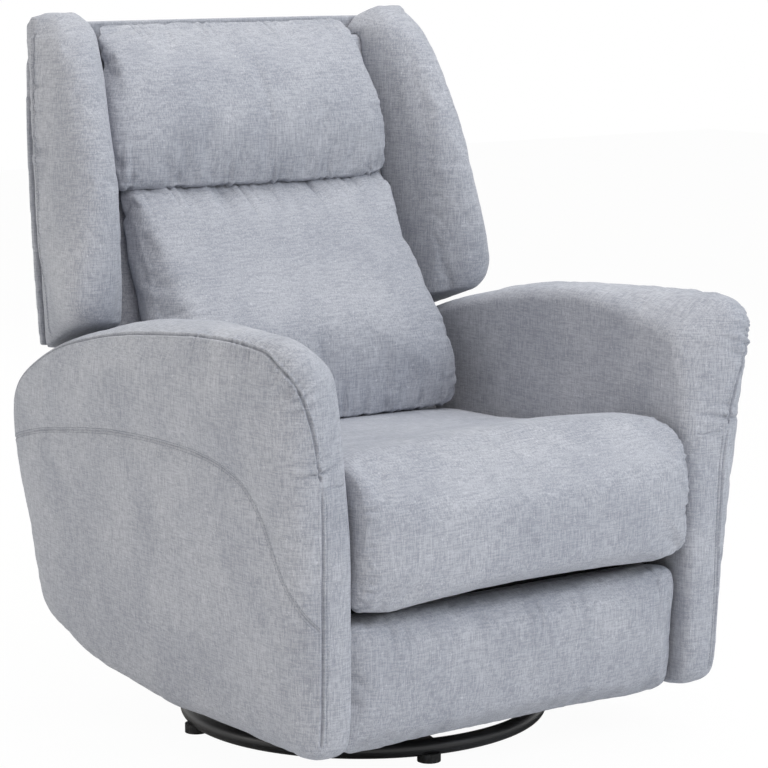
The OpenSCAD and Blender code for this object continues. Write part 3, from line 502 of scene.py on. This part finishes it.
def closer(piece, lines, axes=(0, 1, 2), only=everywhere, within=0.006, cuts=2):
    """Smaller faces beside seams, so that a groove has a crisp floor."""
    points = spots(piece)
    lean = outward(piece)
    near = np.zeros(len(points), dtype=bool)
    for line in lines:
        near |= along(points[:, axes], line)[0] < within
    near &= only(points, lean) > 0.01
    net = bmesh.new()
    net.from_mesh(piece.data)
    net.verts.ensure_lookup_table()
    edges = [e for e in net.edges if near[e.verts[0].index] and near[e.verts[1].index]]
    bmesh.ops.subdivide_edges(net, edges=edges, cuts=cuts, use_grid_fill=True)
    net.to_mesh(piece.data)
    net.free()
    piece.data.update()


def sewn(piece, line, axes=(0, 1, 2), only=everywhere, depth=0.002, width=0.0028, gather=0.0, pitch=0.011,
         reach=0.03, welt=0.0, seed=1.0, dark=0.0):
    """Draws the cover in along a seam; gather is how deep its small folds are beside it."""
    points = spots(piece)
    lean = outward(piece)
    off, where = along(points[:, axes], line)
    share = only(points, lean)
    push = -depth * np.exp(-(off / width) ** 2)
    # Painted shade along the seam's groove, as dark as the dark argument says.
    shadow = dark * np.exp(-(off / (0.75 * width)) ** 2)
    if welt:
        push += welt * np.exp(-((off - 2.4 * width) / (1.1 * width)) ** 2)
    if gather:
        wave = np.sin(2 * np.pi * where / pitch + 1.7 * np.sin(where * 91 * seed) + seed)
        wave += 0.5 * np.sin(2 * np.pi * where / (0.43 * pitch) + 4 * seed)
        fade = np.exp(-off / reach * 1.6) * (1 - np.exp(-(off / width) ** 2))
        fold = wave * fade * (0.6 + 0.4 * np.sin(where * 37 * seed + 2))
        push += gather * fold
        # Painted shade in the hollows of the small folds.
        shadow = np.maximum(shadow, 0.28 * np.clip(-fold, 0, 1))
    move_to(piece, points + lean * (push * share)[:, None])
    if dark or gather:
        creased(piece, shadow * share)


def wall_of(piece):
    """The piece's surface, for finding the nearest place on it."""
    return BVHTree.FromPolygons(
        [v.co for v in piece.data.vertices], [tuple(f.vertices) for f in piece.data.polygons]
    )


def chalked(piece, line, shift=0.0):
    """A seam line drawn on the piece's surface, or a second one beside it."""
    wall = wall_of(piece)
    line = np.asarray(line, dtype=np.float64)
    ahead = np.gradient(line, axis=0)
    drawn = []
    for spot, way in zip(line, ahead):
        spot, up = wall.find_nearest(Vector(spot))[:2]
        if shift:
            spot = wall.find_nearest(spot + up.cross(Vector(way)).normalized() * shift)[0]
        drawn.append(tuple(spot))
    return np.array(drawn)


def stitches(piece, lines, long=0.0034, space=0.0047, thick=0.00042):
    """A row of thread stitches laid on the piece along each line."""
    wall = wall_of(piece)
    points, faces = [], []
    sides = 6
    shares = (0, 0.2, 0.5, 0.8, 1)
    round_about = [(math.cos(a), math.sin(a)) for a in np.linspace(0, 2 * math.pi, sides + 1)[:-1]]
    for line in lines:
        line = np.asarray(line, dtype=np.float64)
        run = np.concatenate([[0], np.cumsum(np.linalg.norm(np.diff(line, axis=0), axis=1))])
        for start in np.arange(0.002, run[-1] - long, space):
            row = []
            for share in shares:
                spot = Vector([np.interp(start + share * long, run, line[:, axis]) for axis in range(3)])
                spot, up = wall.find_nearest(spot)[:2]
                row.append((spot, up, share))
            ahead = (row[-1][0] - row[0][0]).normalized()
            first = len(points)
            for spot, up, share in row:
                side = ahead.cross(up).normalized()
                stout = thick * (0.35 + 0.65 * math.sin(math.pi * share))
                for c, s in round_about:
                    points.append(spot + side * (c * stout * 1.15) + up * ((s + 0.25) * stout))
            for k in range(len(shares) - 1):
                for j in range(sides):
                    a, b = first + k * sides + j, first + k * sides + (j + 1) % sides
                    faces.append((a, b, b + sides, a + sides))
            last = len(points) - sides
            faces.append(tuple(first + j for j in reversed(range(sides))))
            faces.append(tuple(last + j for j in range(sides)))
    return points, faces


def threaded(name, rows, body, mirror=False):
    """The stitches as one piece in seam thread."""
    points, faces = rows
    if mirror:
        points = [Vector((-p[0], p[1], p[2])) for p in points]
        faces = [tuple(reversed(f)) for f in faces]
    mesh = bpy.data.meshes.new(name)
    mesh.from_pydata([tuple(p) for p in points], [], faces)
    made = placed(name, mesh)
    mesh.materials.append(thread_and_seam_shade)
    for face in mesh.polygons:
        face.use_smooth = True
    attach(made, body)


def ripple(piece, height, grain, seed=0.0, only=None):
    """Slow unevenness of hand-stuffed work."""
    points = spots(piece)
    lean = outward(piece)
    turn = points * grain
    wave = (
        np.sin(turn[:, 0] * 1.0 + 1.3 * np.sin(turn[:, 1] * 0.7 + seed) + seed)
        + np.sin(turn[:, 1] * 1.2 + 1.1 * np.sin(turn[:, 2] * 0.8 + 2 * seed) + 1.9)
        + np.sin(turn[:, 2] * 1.1 + 1.2 * np.sin(turn[:, 0] * 0.9 + seed) + 4.1)
    ) / 3
    push = height * wave
    if only is not None:
        push = push * only(points, lean)
    move_to(piece, points + lean * push[:, None])


def dressed(piece, material, node, body):
    """Smooth shading, cover, the solid it stands for and the body it moves with."""
    piece.data.materials.clear()
    piece.data.materials.append(material)
    for face in piece.data.polygons:
        face.use_smooth = True
    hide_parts(node)
    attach(piece, body)


def ramp_up(value, low, high):
    share = np.clip((value - low) / (high - low), 0, 1)
    return share * share * (3 - 2 * share)


# An arm is a plywood panel boxed in foam and batting, and covered in three parts: a flat outside panel
# with an arched topstitched seam, a wide band that wraps over the crest with gathers at its front
# bend, and a narrow facing down the front.
half_depth = 0.4
arm_height = 0.64
arm_inner = 0.292
arm_outline = [
    (-0.880, 0.116), (-0.675, 0.109), (-0.450, 0.108), (-0.225, 0.108), (0.013, 0.108), (0.242, 0.122),
    (0.460, 0.138), (0.620, 0.163), (0.745, 0.191), (0.835, 0.228), (0.885, 0.278), (0.920, 0.369),
    (0.943, 0.469), (0.960, 0.562), (0.968, 0.664), (0.955, 0.734), (0.885, 0.797), (0.750, 0.847),
    (0.600, 0.886), (0.438, 0.916), (0.250, 0.942), (0.050, 0.964), (-0.200, 0.981), (-0.450, 0.991),
    (-0.675, 0.998), (-0.838, 1.000), (-0.935, 0.983), (-0.983, 0.944), (-0.995, 0.883), (-0.988, 0.797),
    (-0.973, 0.702), (-0.960, 0.520), (-0.953, 0.312), (-0.938, 0.172),
]
arm_layers = [
    (0, 0.50), (0.05, 0.22), (0.18, 0.04), (0.42, 0), (0.68, 0.05), (0.86, 0.24), (0.96, 0.56), (1, 1)
]
arm_rounding = 0.036


def curve_through(points, steps, closed=True):
    """Smooth curve through the points, with so many steps between two of them."""
    points = np.asarray(points, dtype=np.float64)
    count = len(points)
    out = []
    for i in range(count if closed else count - 1):
        a, b, c, d = (
            points[k % count] if closed else points[min(max(k, 0), count - 1)]
            for k in (i - 1, i, i + 1, i + 2)
        )
        for j in range(steps):
            t = j / steps
            out.append(0.5 * (2 * b + (c - a) * t + (2 * a - 5 * b + 4 * c - d) * t * t
                              + (3 * b - a - 3 * c + d) * t ** 3))
    if not closed:
        out.append(points[-1])
    return np.array(out)


def drawn_in(outline, amount):
    """The outline moved inwards."""
    ahead = np.roll(outline, -1, axis=0) - np.roll(outline, 1, axis=0)
    ahead /= np.linalg.norm(ahead, axis=1)[:, None]
    return outline + np.stack([-ahead[:, 1], ahead[:, 0]], axis=1) * np.asarray(amount).reshape(-1, 1)


foot_thick, crest_thick = 0.055, 0.120


def arm_thick(p):
    """How thick the arm is at each point of its outline: thin at the foot, thick at the crest."""
    base = foot_thick + (crest_thick - foot_thick) * p[:, 1] / arm_height
    return base * (0.95 + 0.05 * np.minimum(1, 0.5 - 0.5 * p[:, 0] / half_depth))


arm_edge = curve_through([(y * half_depth, z * arm_height) for y, z in arm_outline], 3)
low_edge = 0.4 + 0.6 * np.clip((arm_edge[:, 1] / arm_height - 0.12) / 0.3, 0, 1)
nose_at = (-0.38, 0.6144)
nose_depth, nose_reach = 0.064, 0.42 * arm_height
nose = np.linalg.norm(arm_edge - np.array(nose_at), axis=1)
nose_cut = nose_depth * np.maximum(0, 1 - nose / nose_reach) ** 1.3
rings = []
for across, inset in curve_through(arm_layers, 2, closed=False):
    ring = drawn_in(arm_edge, inset * arm_rounding * low_edge + max(0, 1 - 1.6 * across) * nose_cut)
    thick = arm_thick(ring)
    rings.append(np.stack([arm_inner + across * thick, ring[:, 0], ring[:, 1]], axis=1))
rim = rings[-1]
middle = rim.mean(0)
for share, bulge in ((0.86, 0.0026), (0.66, 0.0055), (0.42, 0.0075), (0.18, 0.0085)):
    inner = middle + (rim - middle) * share
    inner[:, 0] += bulge
    rings.append(inner)
arm_left = skin("arm_left_cover", rings)
evened(arm_left, 0.0065, passes=4)

band_line = curve_through([
    (0.350, 0.372, 0.160), (0.366, 0.382, 0.300), (0.380, 0.378, 0.420), (0.386, 0.335, 0.500),
    (0.389, 0.257, 0.544), (0.390, 0.160, 0.577), (0.395, 0.000, 0.606), (0.396, -0.195, 0.623),
    (0.402, -0.320, 0.623), (0.402, -0.362, 0.609), (0.388, -0.389, 0.578), (0.367, -0.393, 0.520),
    (0.355, -0.388, 0.465), (0.348, -0.384, 0.400), (0.346, -0.381, 0.290), (0.343, -0.371, 0.100),
], 10, closed=False)
arch_line = curve_through([
    (0.384, 0.378, 0.405), (0.385, 0.330, 0.420), (0.389, 0.233, 0.440), (0.394, 0.042, 0.463),
    (0.396, -0.149, 0.466), (0.393, -0.254, 0.446), (0.388, -0.302, 0.402), (0.379, -0.333, 0.330),
    (0.369, -0.364, 0.283), (0.350, -0.380, 0.256),
], 10, closed=False)
at = spots(arm_left)
from_band = along(at, chalked(arm_left, band_line))[0]
from_arch = along(at, chalked(arm_left, arch_line))[0]
held = np.maximum(np.exp(-(from_band / 0.009) ** 2), np.exp(-(from_arch / 0.008) ** 2))
held = np.maximum(held, 1 - ramp_up(at[:, 0] - arm_inner, 0.004, 0.02))
held = np.where(held > 0.45, 1.0, 0.0)


def under_wing(points):
    """1 where the wing passes over the crest, 0 elsewhere."""
    x, y, z = points.T
    return ramp_up(y, 0.06, 0.12) * ramp_up(z, 0.40, 0.46) * (1 - ramp_up(x, 0.385, 0.395))


filled(arm_left, pressure=2.6, cap=lambda p: 0.006 - 0.0055 * under_wing(p), held=held, ease=0.01,
       frames=14)
finer(arm_left)
band_seam = chalked(arm_left, band_line)
arch_seam = chalked(arm_left, arch_line)
arch_rows = [chalked(arm_left, arch_seam, shift) for shift in (-0.0034, 0.0034)]
facing_row = chalked(arm_left, [(x - 0.0065, y, z) for x, y, z in band_line if y < -0.3 and z < 0.445])
level_seam = chalked(arm_left, [(x, -0.39, 0.446) for x in np.linspace(0.300, 0.352, 12)])
closer(arm_left, [band_seam, arch_seam, facing_row, level_seam], within=0.009)
bend_start, bend_end = 68, 122
sewn(arm_left, band_seam[bend_start:bend_end], depth=0.0, width=0.003, gather=0.0030, pitch=0.021,
     reach=0.036, seed=1.3)
sewn(arm_left, band_seam, depth=0.0028, width=0.0016, welt=0.0010, dark=0.42)
sewn(arm_left, arch_seam, depth=0.0018, width=0.0014, welt=0.0004, dark=0.30)
for row in arch_rows:
    sewn(arm_left, row, depth=0.0009, width=0.0012, dark=0.16)
sewn(arm_left, facing_row, depth=0.0010, width=0.0012, dark=0.22)
sewn(arm_left, level_seam, depth=0.0018, width=0.0014, welt=0.0005, dark=0.34)
recess_rear, recess_front, recess_top, recess_depth = 0.232, -0.205, 0.306, 0.0048
points = spots(arm_left)
x, y, z = points.T
recess = (x < arm_inner + 0.008) & (y > recess_front) & (y < recess_rear) & (z < recess_top)
points[recess, 0] = np.maximum(points[recess, 0], arm_inner + recess_depth)
points[:, 0] = np.maximum(points[:, 0], arm_inner + 0.0002)
move_to(arm_left, points)
for height, grain, seed, start in ((0.0013, 21.0, 0.4, 0.30), (0.0006, 47.0, 2.4, 0.31)):
    ripple(arm_left, height, grain, seed=seed,
           only=lambda p, n: ramp_up(p[:, 0], start, start + 0.02) * (1 - under_wing(p)))
wing_room = 0.0014
points = spots(arm_left)
move_to(arm_left, points - outward(arm_left) * (wing_room * under_wing(points))[:, None])
arm_threads = stitches(arm_left, arch_rows)
facing_threads = stitches(arm_left, [facing_row])


def other_side(name, piece):
    """The piece's mirror image, cut from the same patterns turned over."""
    made = placed(name, piece.data.copy())
    move_to(made, spots(made) * (-1, 1, 1))
    made.data.flip_normals()
    return made


arm_right = other_side("arm_right_cover", arm_left)
dressed(arm_left, chenille, "arm_left", "chair_frame")
dressed(arm_right, chenille, "arm_right", "chair_frame")
for name, rows in (("topstitch", arm_threads), ("facing_topstitch", facing_threads)):
    threaded("arm_left_" + name, rows, "chair_frame")
    threaded("arm_right_" + name, rows, "chair_frame", mirror=True)


# The seat is one cushion over zigzag springs: a lower panel under the sitter, a plump bolster above
# the knees that rolls down over the front rail, and boxed sides that are gathered to it.
seat = placed("seat_cover", solids["seat_cushion"].data.copy())
evened(seat, 0.0065, passes=10)
points = spots(seat)
move_to(seat, points - outward(seat) * 0.005 * ramp_up(points[:, 2], 0.28, 0.34)[:, None])
at = spots(seat)
held = np.where((at[:, 2] < 0.336) & (at[:, 1] > -0.325) | (at[:, 1] > 0.155), 1.0, 0.0)
held = np.maximum(held, np.where(np.abs(np.abs(at[:, 0]) - 0.2855) < 0.004, 1.0, 0.0))
filled(seat, pressure=3.6, cap=0.012, held=held, ease=0.015, frames=18)
finer(seat)


def seat_top(points, lean):
    return ramp_up(lean[:, 2], -0.1, 0.3) * ramp_up(points[:, 2], 0.36, 0.39)


side_line = curve_through([
    (-0.300, 0.300), (-0.360, 0.276), (-0.392, 0.300), (-0.396, 0.350), (-0.395, 0.400), (-0.384, 0.440),
    (-0.352, 0.466), (-0.300, 0.470), (-0.240, 0.464), (-0.170, 0.446), (-0.080, 0.431), (0.060, 0.424),
    (0.150, 0.418),
], 5, closed=False)
for side in (-1, 1):
    def boxed(points, lean):
        return ramp_up(side * points[:, 0], 0.262, 0.276)

    closer(seat, [side_line], axes=(1, 2), only=boxed, within=0.008, cuts=1)
    sewn(seat, side_line, axes=(1, 2), only=boxed, depth=0.0024, width=0.003, gather=0.0030, pitch=0.023,
         reach=0.026, seed=1.7 + side * 0.4, dark=0.35)
sewn(seat, [(-0.29, -0.180, 0.449), (0.29, -0.180, 0.449)], only=seat_top, depth=0.0016, width=0.006)
ripple(seat, 0.0020, 15.0, seed=1.1, only=seat_top)
ripple(seat, 0.0008, 38.0, seed=3.1)
# The roll hangs a little lower at the sitter's right
roll_sag = 0.006
points = spots(seat)
x, y, z = points.T
points[:, 2] -= roll_sag * ramp_up(-x, -0.05, 0.28) * ramp_up(-y, 0.335, 0.37) * ramp_up(-z, -0.33, -0.27)
seat_half, seat_front, deck_front, deck_height = 0.2914, -0.404, -0.333, 0.3352
points[:, 0] = np.clip(points[:, 0], -seat_half, seat_half)
points[:, 1] = np.maximum(points[:, 1], seat_front)
on_deck = (points[:, 2] < 0.334) & (points[:, 1] > deck_front)
points[on_deck, 2] = np.maximum(points[on_deck, 2], deck_height)
move_to(seat, points)
dressed(seat, chenille, "seat_cushion", "seat")

# The footrest pad is foam wrapped round its board: a crowned face with soft rounded corners and a
# lower edge that the staples pull slightly wavy.
pad = placed("footrest_cover", solids["footrest_pad"].data.copy())
evened(pad, 0.005, passes=10)
low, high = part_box("footrest_pad")
move_to(pad, spots(pad) - outward(pad) * 0.0025)
held = np.where(spots(pad)[:, 1] > high[1] - 0.007, 1.0, 0.0)
filled(pad, pressure=3.4, cap=0.010, held=held, ease=0.012, frames=16)
finer(pad)
for height, gather, pitch, seed in (
    (low[2] + 0.010, 0.0010, 0.062, 0.9), (high[2] - 0.012, 0.0018, 0.047, 2.2)
):
    line = [(x, height) for x in np.linspace(-0.285, 0.285, 25)]
    sewn(pad, line, axes=(0, 2), only=lambda p, n: ramp_up(-p[:, 1], 0.320, 0.345), depth=0.0, width=0.006,
         gather=gather, pitch=pitch, reach=0.045, seed=seed)
for height, grain, seed in ((0.0018, 16.0, 2.6), (0.0007, 41.0, 1.6)):
    ripple(pad, height, grain, seed=seed, only=lambda p, n: ramp_up(-n[:, 1], 0.1, 0.5))
pad_half = 0.2905
points = spots(pad)
points[:, 0] = np.clip(points[:, 0], -pad_half, pad_half)
points[:, 1] = np.minimum(points[:, 1], high[1])
points[:, 2] = np.minimum(points[:, 2], high[2] - 0.0002 - 0.002 * ramp_up(-points[:, 0], 0.0, 0.28))
move_to(pad, points)
dressed(pad, chenille, "footrest_pad", "footrest")

# The pad's cover is pulled over the board's four edges and stapled behind it, with a hem that waves a
# little between the staples.
board_low, board_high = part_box("footrest_board")
turn_thick = 0.0012


def turnover(name, edge, out, start, end, upright):
    """Cloth folded round the board's edge from start to end; out says which way the edge faces."""
    front, back = board_low[1], board_high[1]
    front_hem, back_hem, slip = edge - out * 0.010, edge - out * 0.024, 0.0002
    outer = [
        (front_hem, front - turn_thick), (edge, front - turn_thick), (edge + out * turn_thick, front),
        (edge + out * turn_thick, back), (edge, back + turn_thick), (back_hem, back + turn_thick),
    ]
    inner = [
        (front_hem, front), (edge - out * slip, front), (edge + out * slip, front + slip),
        (edge + out * slip, back - slip), (edge - out * slip, back), (back_hem, back),
    ]
    section = outer + inner[::-1]
    steps = max(12, int((end - start) / 0.009))
    rings = []
    for j in range(steps + 1):
        run = start + (end - start) * j / steps
        ring = []
        for k, (across, y) in enumerate(section):
            across += out * (0.0012 * math.sin(j * 1.9) if k in (5, 6) else 0)
            ring.append((across, y, run) if upright else (run, y, across))
        rings.append(ring)
    made = skin(name, rings)
    net = bmesh.new()
    net.from_mesh(made.data)
    bmesh.ops.recalc_face_normals(net, faces=net.faces)
    net.to_mesh(made.data)
    net.free()
    made.data.materials.append(chenille)
    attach(made, "footrest")


turnover("footrest_cover_turnover_top", board_high[2], 1, board_low[0], board_high[0], False)
turnover("footrest_cover_turnover_foot", board_low[2], -1, board_low[0], board_high[0], False)
turnover("footrest_cover_turnover_left", board_high[0], 1, board_low[2], board_high[2], True)
turnover("footrest_cover_turnover_right", board_low[0], -1, board_low[2], board_high[2], True)

# Black dust cloth closes what the covers leave open: a strip stapled under the seat's front rail hangs
# behind the front roll, another hangs inside the rear skirt, and a sheet lies behind the footrest. The
# strip behind the roll is partly a
# real lining and partly painted shade: it keeps the slit under the roll dark, where shade falls.
lining_cloth, place, facing, shader = finish("black dust cloth", Specular_IOR_Level=0.15)
felted = place.noise((700, 700, 700), detail=2)
into(shader, "Base Color", felted.between(0.3, 0.7).tinted((0.008, 0.008, 0.009), (0.026, 0.026, 0.028)))
into(shader, "Roughness", 0.9 + felted * 0.06)
into(shader, "Normal", felted.relief(0.3, 0.0004))
lining_thick = 0.0008


def dust_cloth(name, half, low, high, y, body, slack=0.0):
    """A black sheet across the chair, a little wavy along its lower edge."""
    rows, columns = 8, 60
    rings = []
    for k in range(rows + 1):
        z = low + (high - low) * k / rows
        wave = [slack * math.sin(j * 0.55) * (1 - k / rows) for j in range(columns + 1)]
        front = [(-half + 2 * half * j / columns, y + w - lining_thick / 2, z) for j, w in enumerate(wave)]
        rear = [(x, y + lining_thick, z) for x, y, z in reversed(front)]
        rings.append(front + rear)
    made = skin(name, rings)
    made.data.materials.append(lining_cloth)
    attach(made, body)


dust_cloth("seat_front_lining_and_shade", 0.254, 0.222, 0.2996, -0.2990, "seat", slack=0.0011)
dust_cloth("footrest_dust_cloth", 0.246, board_low[2] + 0.018, board_high[2] - 0.018,
           board_high[1] + lining_thick, "footrest")

# A wing is a foam block on the back's side panel. Its cover is one piece round the front, closed by a
# doubled topstitched seam that runs down its outside face near the rear.
wing_left = placed("wing_left_cover", solids["wing_left"].data.copy())
evened(wing_left, 0.0055, passes=10)
held = np.where(ramp_up(spots(wing_left)[:, 0], 0.275, 0.29) < 0.5, 1.0, 0.0)


def over_arm(points):
    """1 at the wing's lower end, which passes the arm's crest, 0 above."""
    return 1 - ramp_up(points[:, 2] - 0.36 * points[:, 1], 0.50, 0.58)


filled(wing_left, pressure=3.2, cap=lambda p: 0.007 - 0.0065 * over_arm(p), held=held, ease=0.01,
       frames=14)
arm_room = 0.0016
points = spots(wing_left)
move_to(wing_left, points - outward(wing_left) * (arm_room * over_arm(points))[:, None])
finer(wing_left)
wing_line = curve_through([
    (0.40, 0.315, 0.556), (0.40, 0.323, 0.62), (0.40, 0.331, 0.70), (0.40, 0.3375, 0.78),
    (0.40, 0.3425, 0.86), (0.40, 0.3455, 0.94), (0.37, 0.3470, 1.01),
], 8, closed=False)
wing_seam = chalked(wing_left, wing_line)
wing_rows = [chalked(wing_left, wing_seam, shift) for shift in (-0.0040, 0.0040)]
closer(wing_left, [wing_seam], within=0.010)
sewn(wing_left, wing_seam, depth=0.0, width=0.003, gather=0.0018, pitch=0.043, reach=0.034, seed=1.9,
     only=lambda p, n: 1 - over_arm(p))
sewn(wing_left, wing_seam, depth=0.0032, width=0.0017, welt=0.0012, dark=0.50)
for row in wing_rows:
    sewn(wing_left, row, depth=0.0010, width=0.0012, dark=0.22)
for height, grain, seed in ((0.0019, 17.0, 3.3), (0.0007, 43.0, 1.3)):
    ripple(wing_left, height, grain, seed=seed,
           only=lambda p, n: ramp_up(p[:, 0], 0.28, 0.30) * (1 - over_arm(p)))
wing_threads = stitches(wing_left, wing_rows)
wing_right = other_side("wing_right_cover", wing_left)
dressed(wing_left, chenille, "wing_left", "backrest")
dressed(wing_right, chenille, "wing_right", "backrest")
threaded("wing_left_topstitch", wing_threads, "backrest")
threaded("wing_right_topstitch", wing_threads, "backrest", mirror=True)

# The core behind the pillows is a foam block wrapped in the same cloth and stapled to the back's
# frame; it shows only in the gaps between pillows and wings.
core = placed("back_core_cover", solids["back_core"].data.copy())
evened(core, 0.007, passes=3)
points = spots(core)
points += outward(core) * 0.0018
points[:, 0] = np.sign(points[:, 0]) * np.minimum(np.abs(points[:, 0]) * 1.08, 0.2785)
move_to(core, points)
ripple(core, 0.0012, 18.0, seed=2.2, only=lambda p, n: ramp_up(-n[:, 1], 0.4, 0.8))
dressed(core, chenille, "back_core", "backrest")
painted("back_side_panels", chenille)
dust_cloth("back_foot_lining", 0.250, 0.262, 0.3015, 0.3150, "backrest", slack=0.0010)

# The lumbar and head cushions are blown-fibre pillows sewn to the back along their lower and upper
# edges: knife-edge seams at the ends, with small pulls running in from the corners. They are squeezed
# between the wings.
wing_wall = wall_of(wing_left)
side_step = Vector((1, 0, 0))


def squeezed(piece, gap=0.0012):
    """Stops the piece at the wings' inner faces, both of which are the left one mirrored."""
    points = spots(piece)
    for i in np.nonzero(np.abs(points[:, 0]) > 0.17)[0]:
        x, y, z = points[i]
        hit = wing_wall.ray_cast(Vector((0.10, y, z)), side_step, 0.26)[0]
        if hit is not None and abs(x) > hit.x - gap:
            points[i, 0] = math.copysign(hit.x - gap, x)
    move_to(piece, points)


rear_wall = wall_of(solids["outside_back"])
rear_step = Vector((0, 1, 0))


def backed(piece):
    """Keeps the piece in front of the outside back."""
    points = spots(piece)
    for i in np.nonzero(points[:, 1] > 0.28)[0]:
        x, y, z = points[i]
        hit = rear_wall.ray_cast(Vector((x, 0.15, z)), rear_step, 0.3)[0]
        if hit is not None and y > hit.y - 0.0008:
            points[i, 1] = hit.y - 0.0008
    move_to(piece, points)


def pillow(name, node, cap, wider, pulls, fill, lifted, dropped):
    made = placed(name, solids[node].data.copy())
    evened(made, 0.006, passes=10)
    low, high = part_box(node)
    at = spots(made)
    at = at - outward(made) * 0.005
    at[:, 0] *= np.where(at[:, 0] < 0, wider[0], wider[1])
    up = ramp_up(at[:, 2], high[2] - 0.10, high[2] - 0.01)
    at[:, 2] += lifted * up
    at[:, 2] -= dropped * ramp_up(-at[:, 2], -low[2] - 0.08, -low[2] - 0.01)
    move_to(made, at)
    rim = (at[:, 2] < low[2] - dropped + 0.012) | (at[:, 1] > high[1] - 0.02)
    filled(made, pressure=4.4, cap=cap, held=np.where(rim, 1.0, 0.0), ease=0.03, frames=20)
    squeezed(made)
    finer(made)
    for line, depth, gather, pitch, reach, seed in pulls:
        sewn(made, line, depth=depth, width=0.0045, gather=gather, pitch=pitch, reach=reach, seed=seed,
             dark=0.25 if depth > 0.001 else 0.0)
    ripple(made, 0.0026, 13.0, seed=fill * 7)
    ripple(made, 0.0009, 36.0, seed=fill * 11)
    backed(made)
    dressed(made, chenille, node, "backrest")


def level_line(half, y, z):
    return [(x, y, z) for x in np.linspace(-half, half, 15)]


low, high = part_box("lumbar_cushion")
wide = high[0] * 1.045
pulls = []
for side in (-1, 1):
    edge = [(side * (wide - 0.010), y, z) for y, z in (
        (0.21, high[2] - 0.03), (0.16, 0.68), (0.11, 0.60), (0.085, 0.52), (0.10, 0.46),
        (0.14, low[2] + 0.012),
    )]
    pulls.append((edge, 0.0020, 0.0028, 0.031, 0.045, 1.2 + side * 0.3))
pulls.append((level_line(0.22, 0.262, high[2] - 0.004), 0.0004, 0.0032, 0.041, 0.050, 2.7))
pulls.append((level_line(0.23, 0.100, low[2] + 0.006), 0.0004, 0.0030, 0.047, 0.050, 3.4))
pillow("lumbar_cover", "lumbar_cushion", 0.016, (1.045, 1.03), pulls, 0.8, lifted=0.013, dropped=0.006)

low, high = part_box("head_cushion")
wide = high[0] * 1.10
pulls = []
for side in (-1, 1):
    edge = [(side * (wide - 0.012), y, z) for y, z in (
        (0.34, high[2] - 0.01), (0.30, 0.96), (0.27, 0.90), (0.262, 0.84), (0.27, low[2] + 0.012)
    )]
    pulls.append((edge, 0.0016, 0.0024, 0.027, 0.036, 0.8 + side * 0.3))
pulls.append((level_line(0.24, 0.262, low[2] + 0.004), 0.0004, 0.0036, 0.026, 0.040, 1.9))
pulls.append((level_line(0.22, 0.350, high[2] - 0.004), 0.0004, 0.0018, 0.039, 0.034, 2.9))
pillow("head_cover", "head_cushion", 0.015, (1.10, 1.00), pulls, 0.75, lifted=0.009, dropped=0.009)

# The outside back is a thinly padded panel, closed on both sides by a topstitched seam and with a
# centre seam, tacked to the frame along its lower edge.
back_panel = placed("outside_back_cover", solids["outside_back"].data.copy())
evened(back_panel, 0.0045, passes=4)
finer(back_panel)


def rearward(points, lean):
    return ramp_up(lean[:, 1], 0.3, 0.6)


side_joints = [[(x, 0.56), (x, 1.03)] for x in (-0.314, 0.314)]
centre_joint = [(0.0, 0.29), (0.0, 0.985)]
crown_joint = [(-0.34, 0.985), (0.34, 0.985)]
closer(back_panel, side_joints + [centre_joint, crown_joint], axes=(0, 2), only=rearward, within=0.008)
for joint in side_joints + [centre_joint, crown_joint]:
    sewn(back_panel, joint, axes=(0, 2), only=rearward, depth=0.0026, width=0.0016, welt=0.0009, dark=0.45)
ripple(back_panel, 0.0012, 14.0, seed=0.7, only=rearward)
back_rows = [
    chalked(back_panel, [(x + shift, 0.42, z) for z in np.linspace(0.57, 0.98, 40)])
    for x in (-0.314, 0.314) for shift in (-0.005, 0.005)
]
back_rows.append(chalked(back_panel, [(x, 0.42, 0.980) for x in np.linspace(-0.305, 0.305, 60)]))
back_threads = stitches(back_panel, back_rows)
dressed(back_panel, chenille, "outside_back", "backrest")
threaded("outside_back_topstitch", back_threads, "backrest")

# The core's cloth is carried on over the back's top rail and stapled behind it, so that no wood shows
# between the head cushion and the outside back.
crown_section = [(0.3560, 0.9908), (0.3640, 0.9910), (0.3690, 0.9872), (0.3740, 0.9848), (0.3846, 0.9843)]
crown_reach = 0.2775
crown_thick = 0.0009
rings = []
for y, z in crown_section:
    lower = [(x, y, z) for x in np.linspace(-crown_reach, crown_reach, 61)]
    rings.append([(x, y, z + crown_thick) for x, y, z in lower] + lower[::-1])
crown = skin("back_crown_cover", rings)
finer(crown)
ripple(crown, 0.0006, 21.0, seed=4.1)
squeezed(crown, gap=0.0006)
backed(crown)
dressed(crown, chenille, "back_core", "backrest")

# The skirt closes the rear between the arms under the back: a stiffened flap of the same cloth,
# hemmed at its lower edge.
low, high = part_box("rear_skirt")
rows = 14
columns = 60
rings = []
for k in range(rows + 1):
    z = low[2] + (high[2] - low[2]) * k / rows
    pinch = 0.35 if k in (0, rows) else (0.85 if k in (1, rows - 1) else 1.0)
    half = (high[1] - low[1]) / 2 * pinch
    centre = (high[1] + low[1]) / 2
    front = [(low[0] + (high[0] - low[0]) * j / columns, centre - half, z) for j in range(columns + 1)]
    rear = [(high[0] - (high[0] - low[0]) * j / columns, centre + half, z) for j in range(columns + 1)]
    rings.append(front + rear)
skirt = skin("rear_skirt_cover", rings)
finer(skirt)
sewn(skirt, [(-0.30, low[2] + 0.022), (0.30, low[2] + 0.022)], axes=(0, 2), depth=0.0009, width=0.0016)
dressed(skirt, chenille, "rear_skirt", "chair_frame")
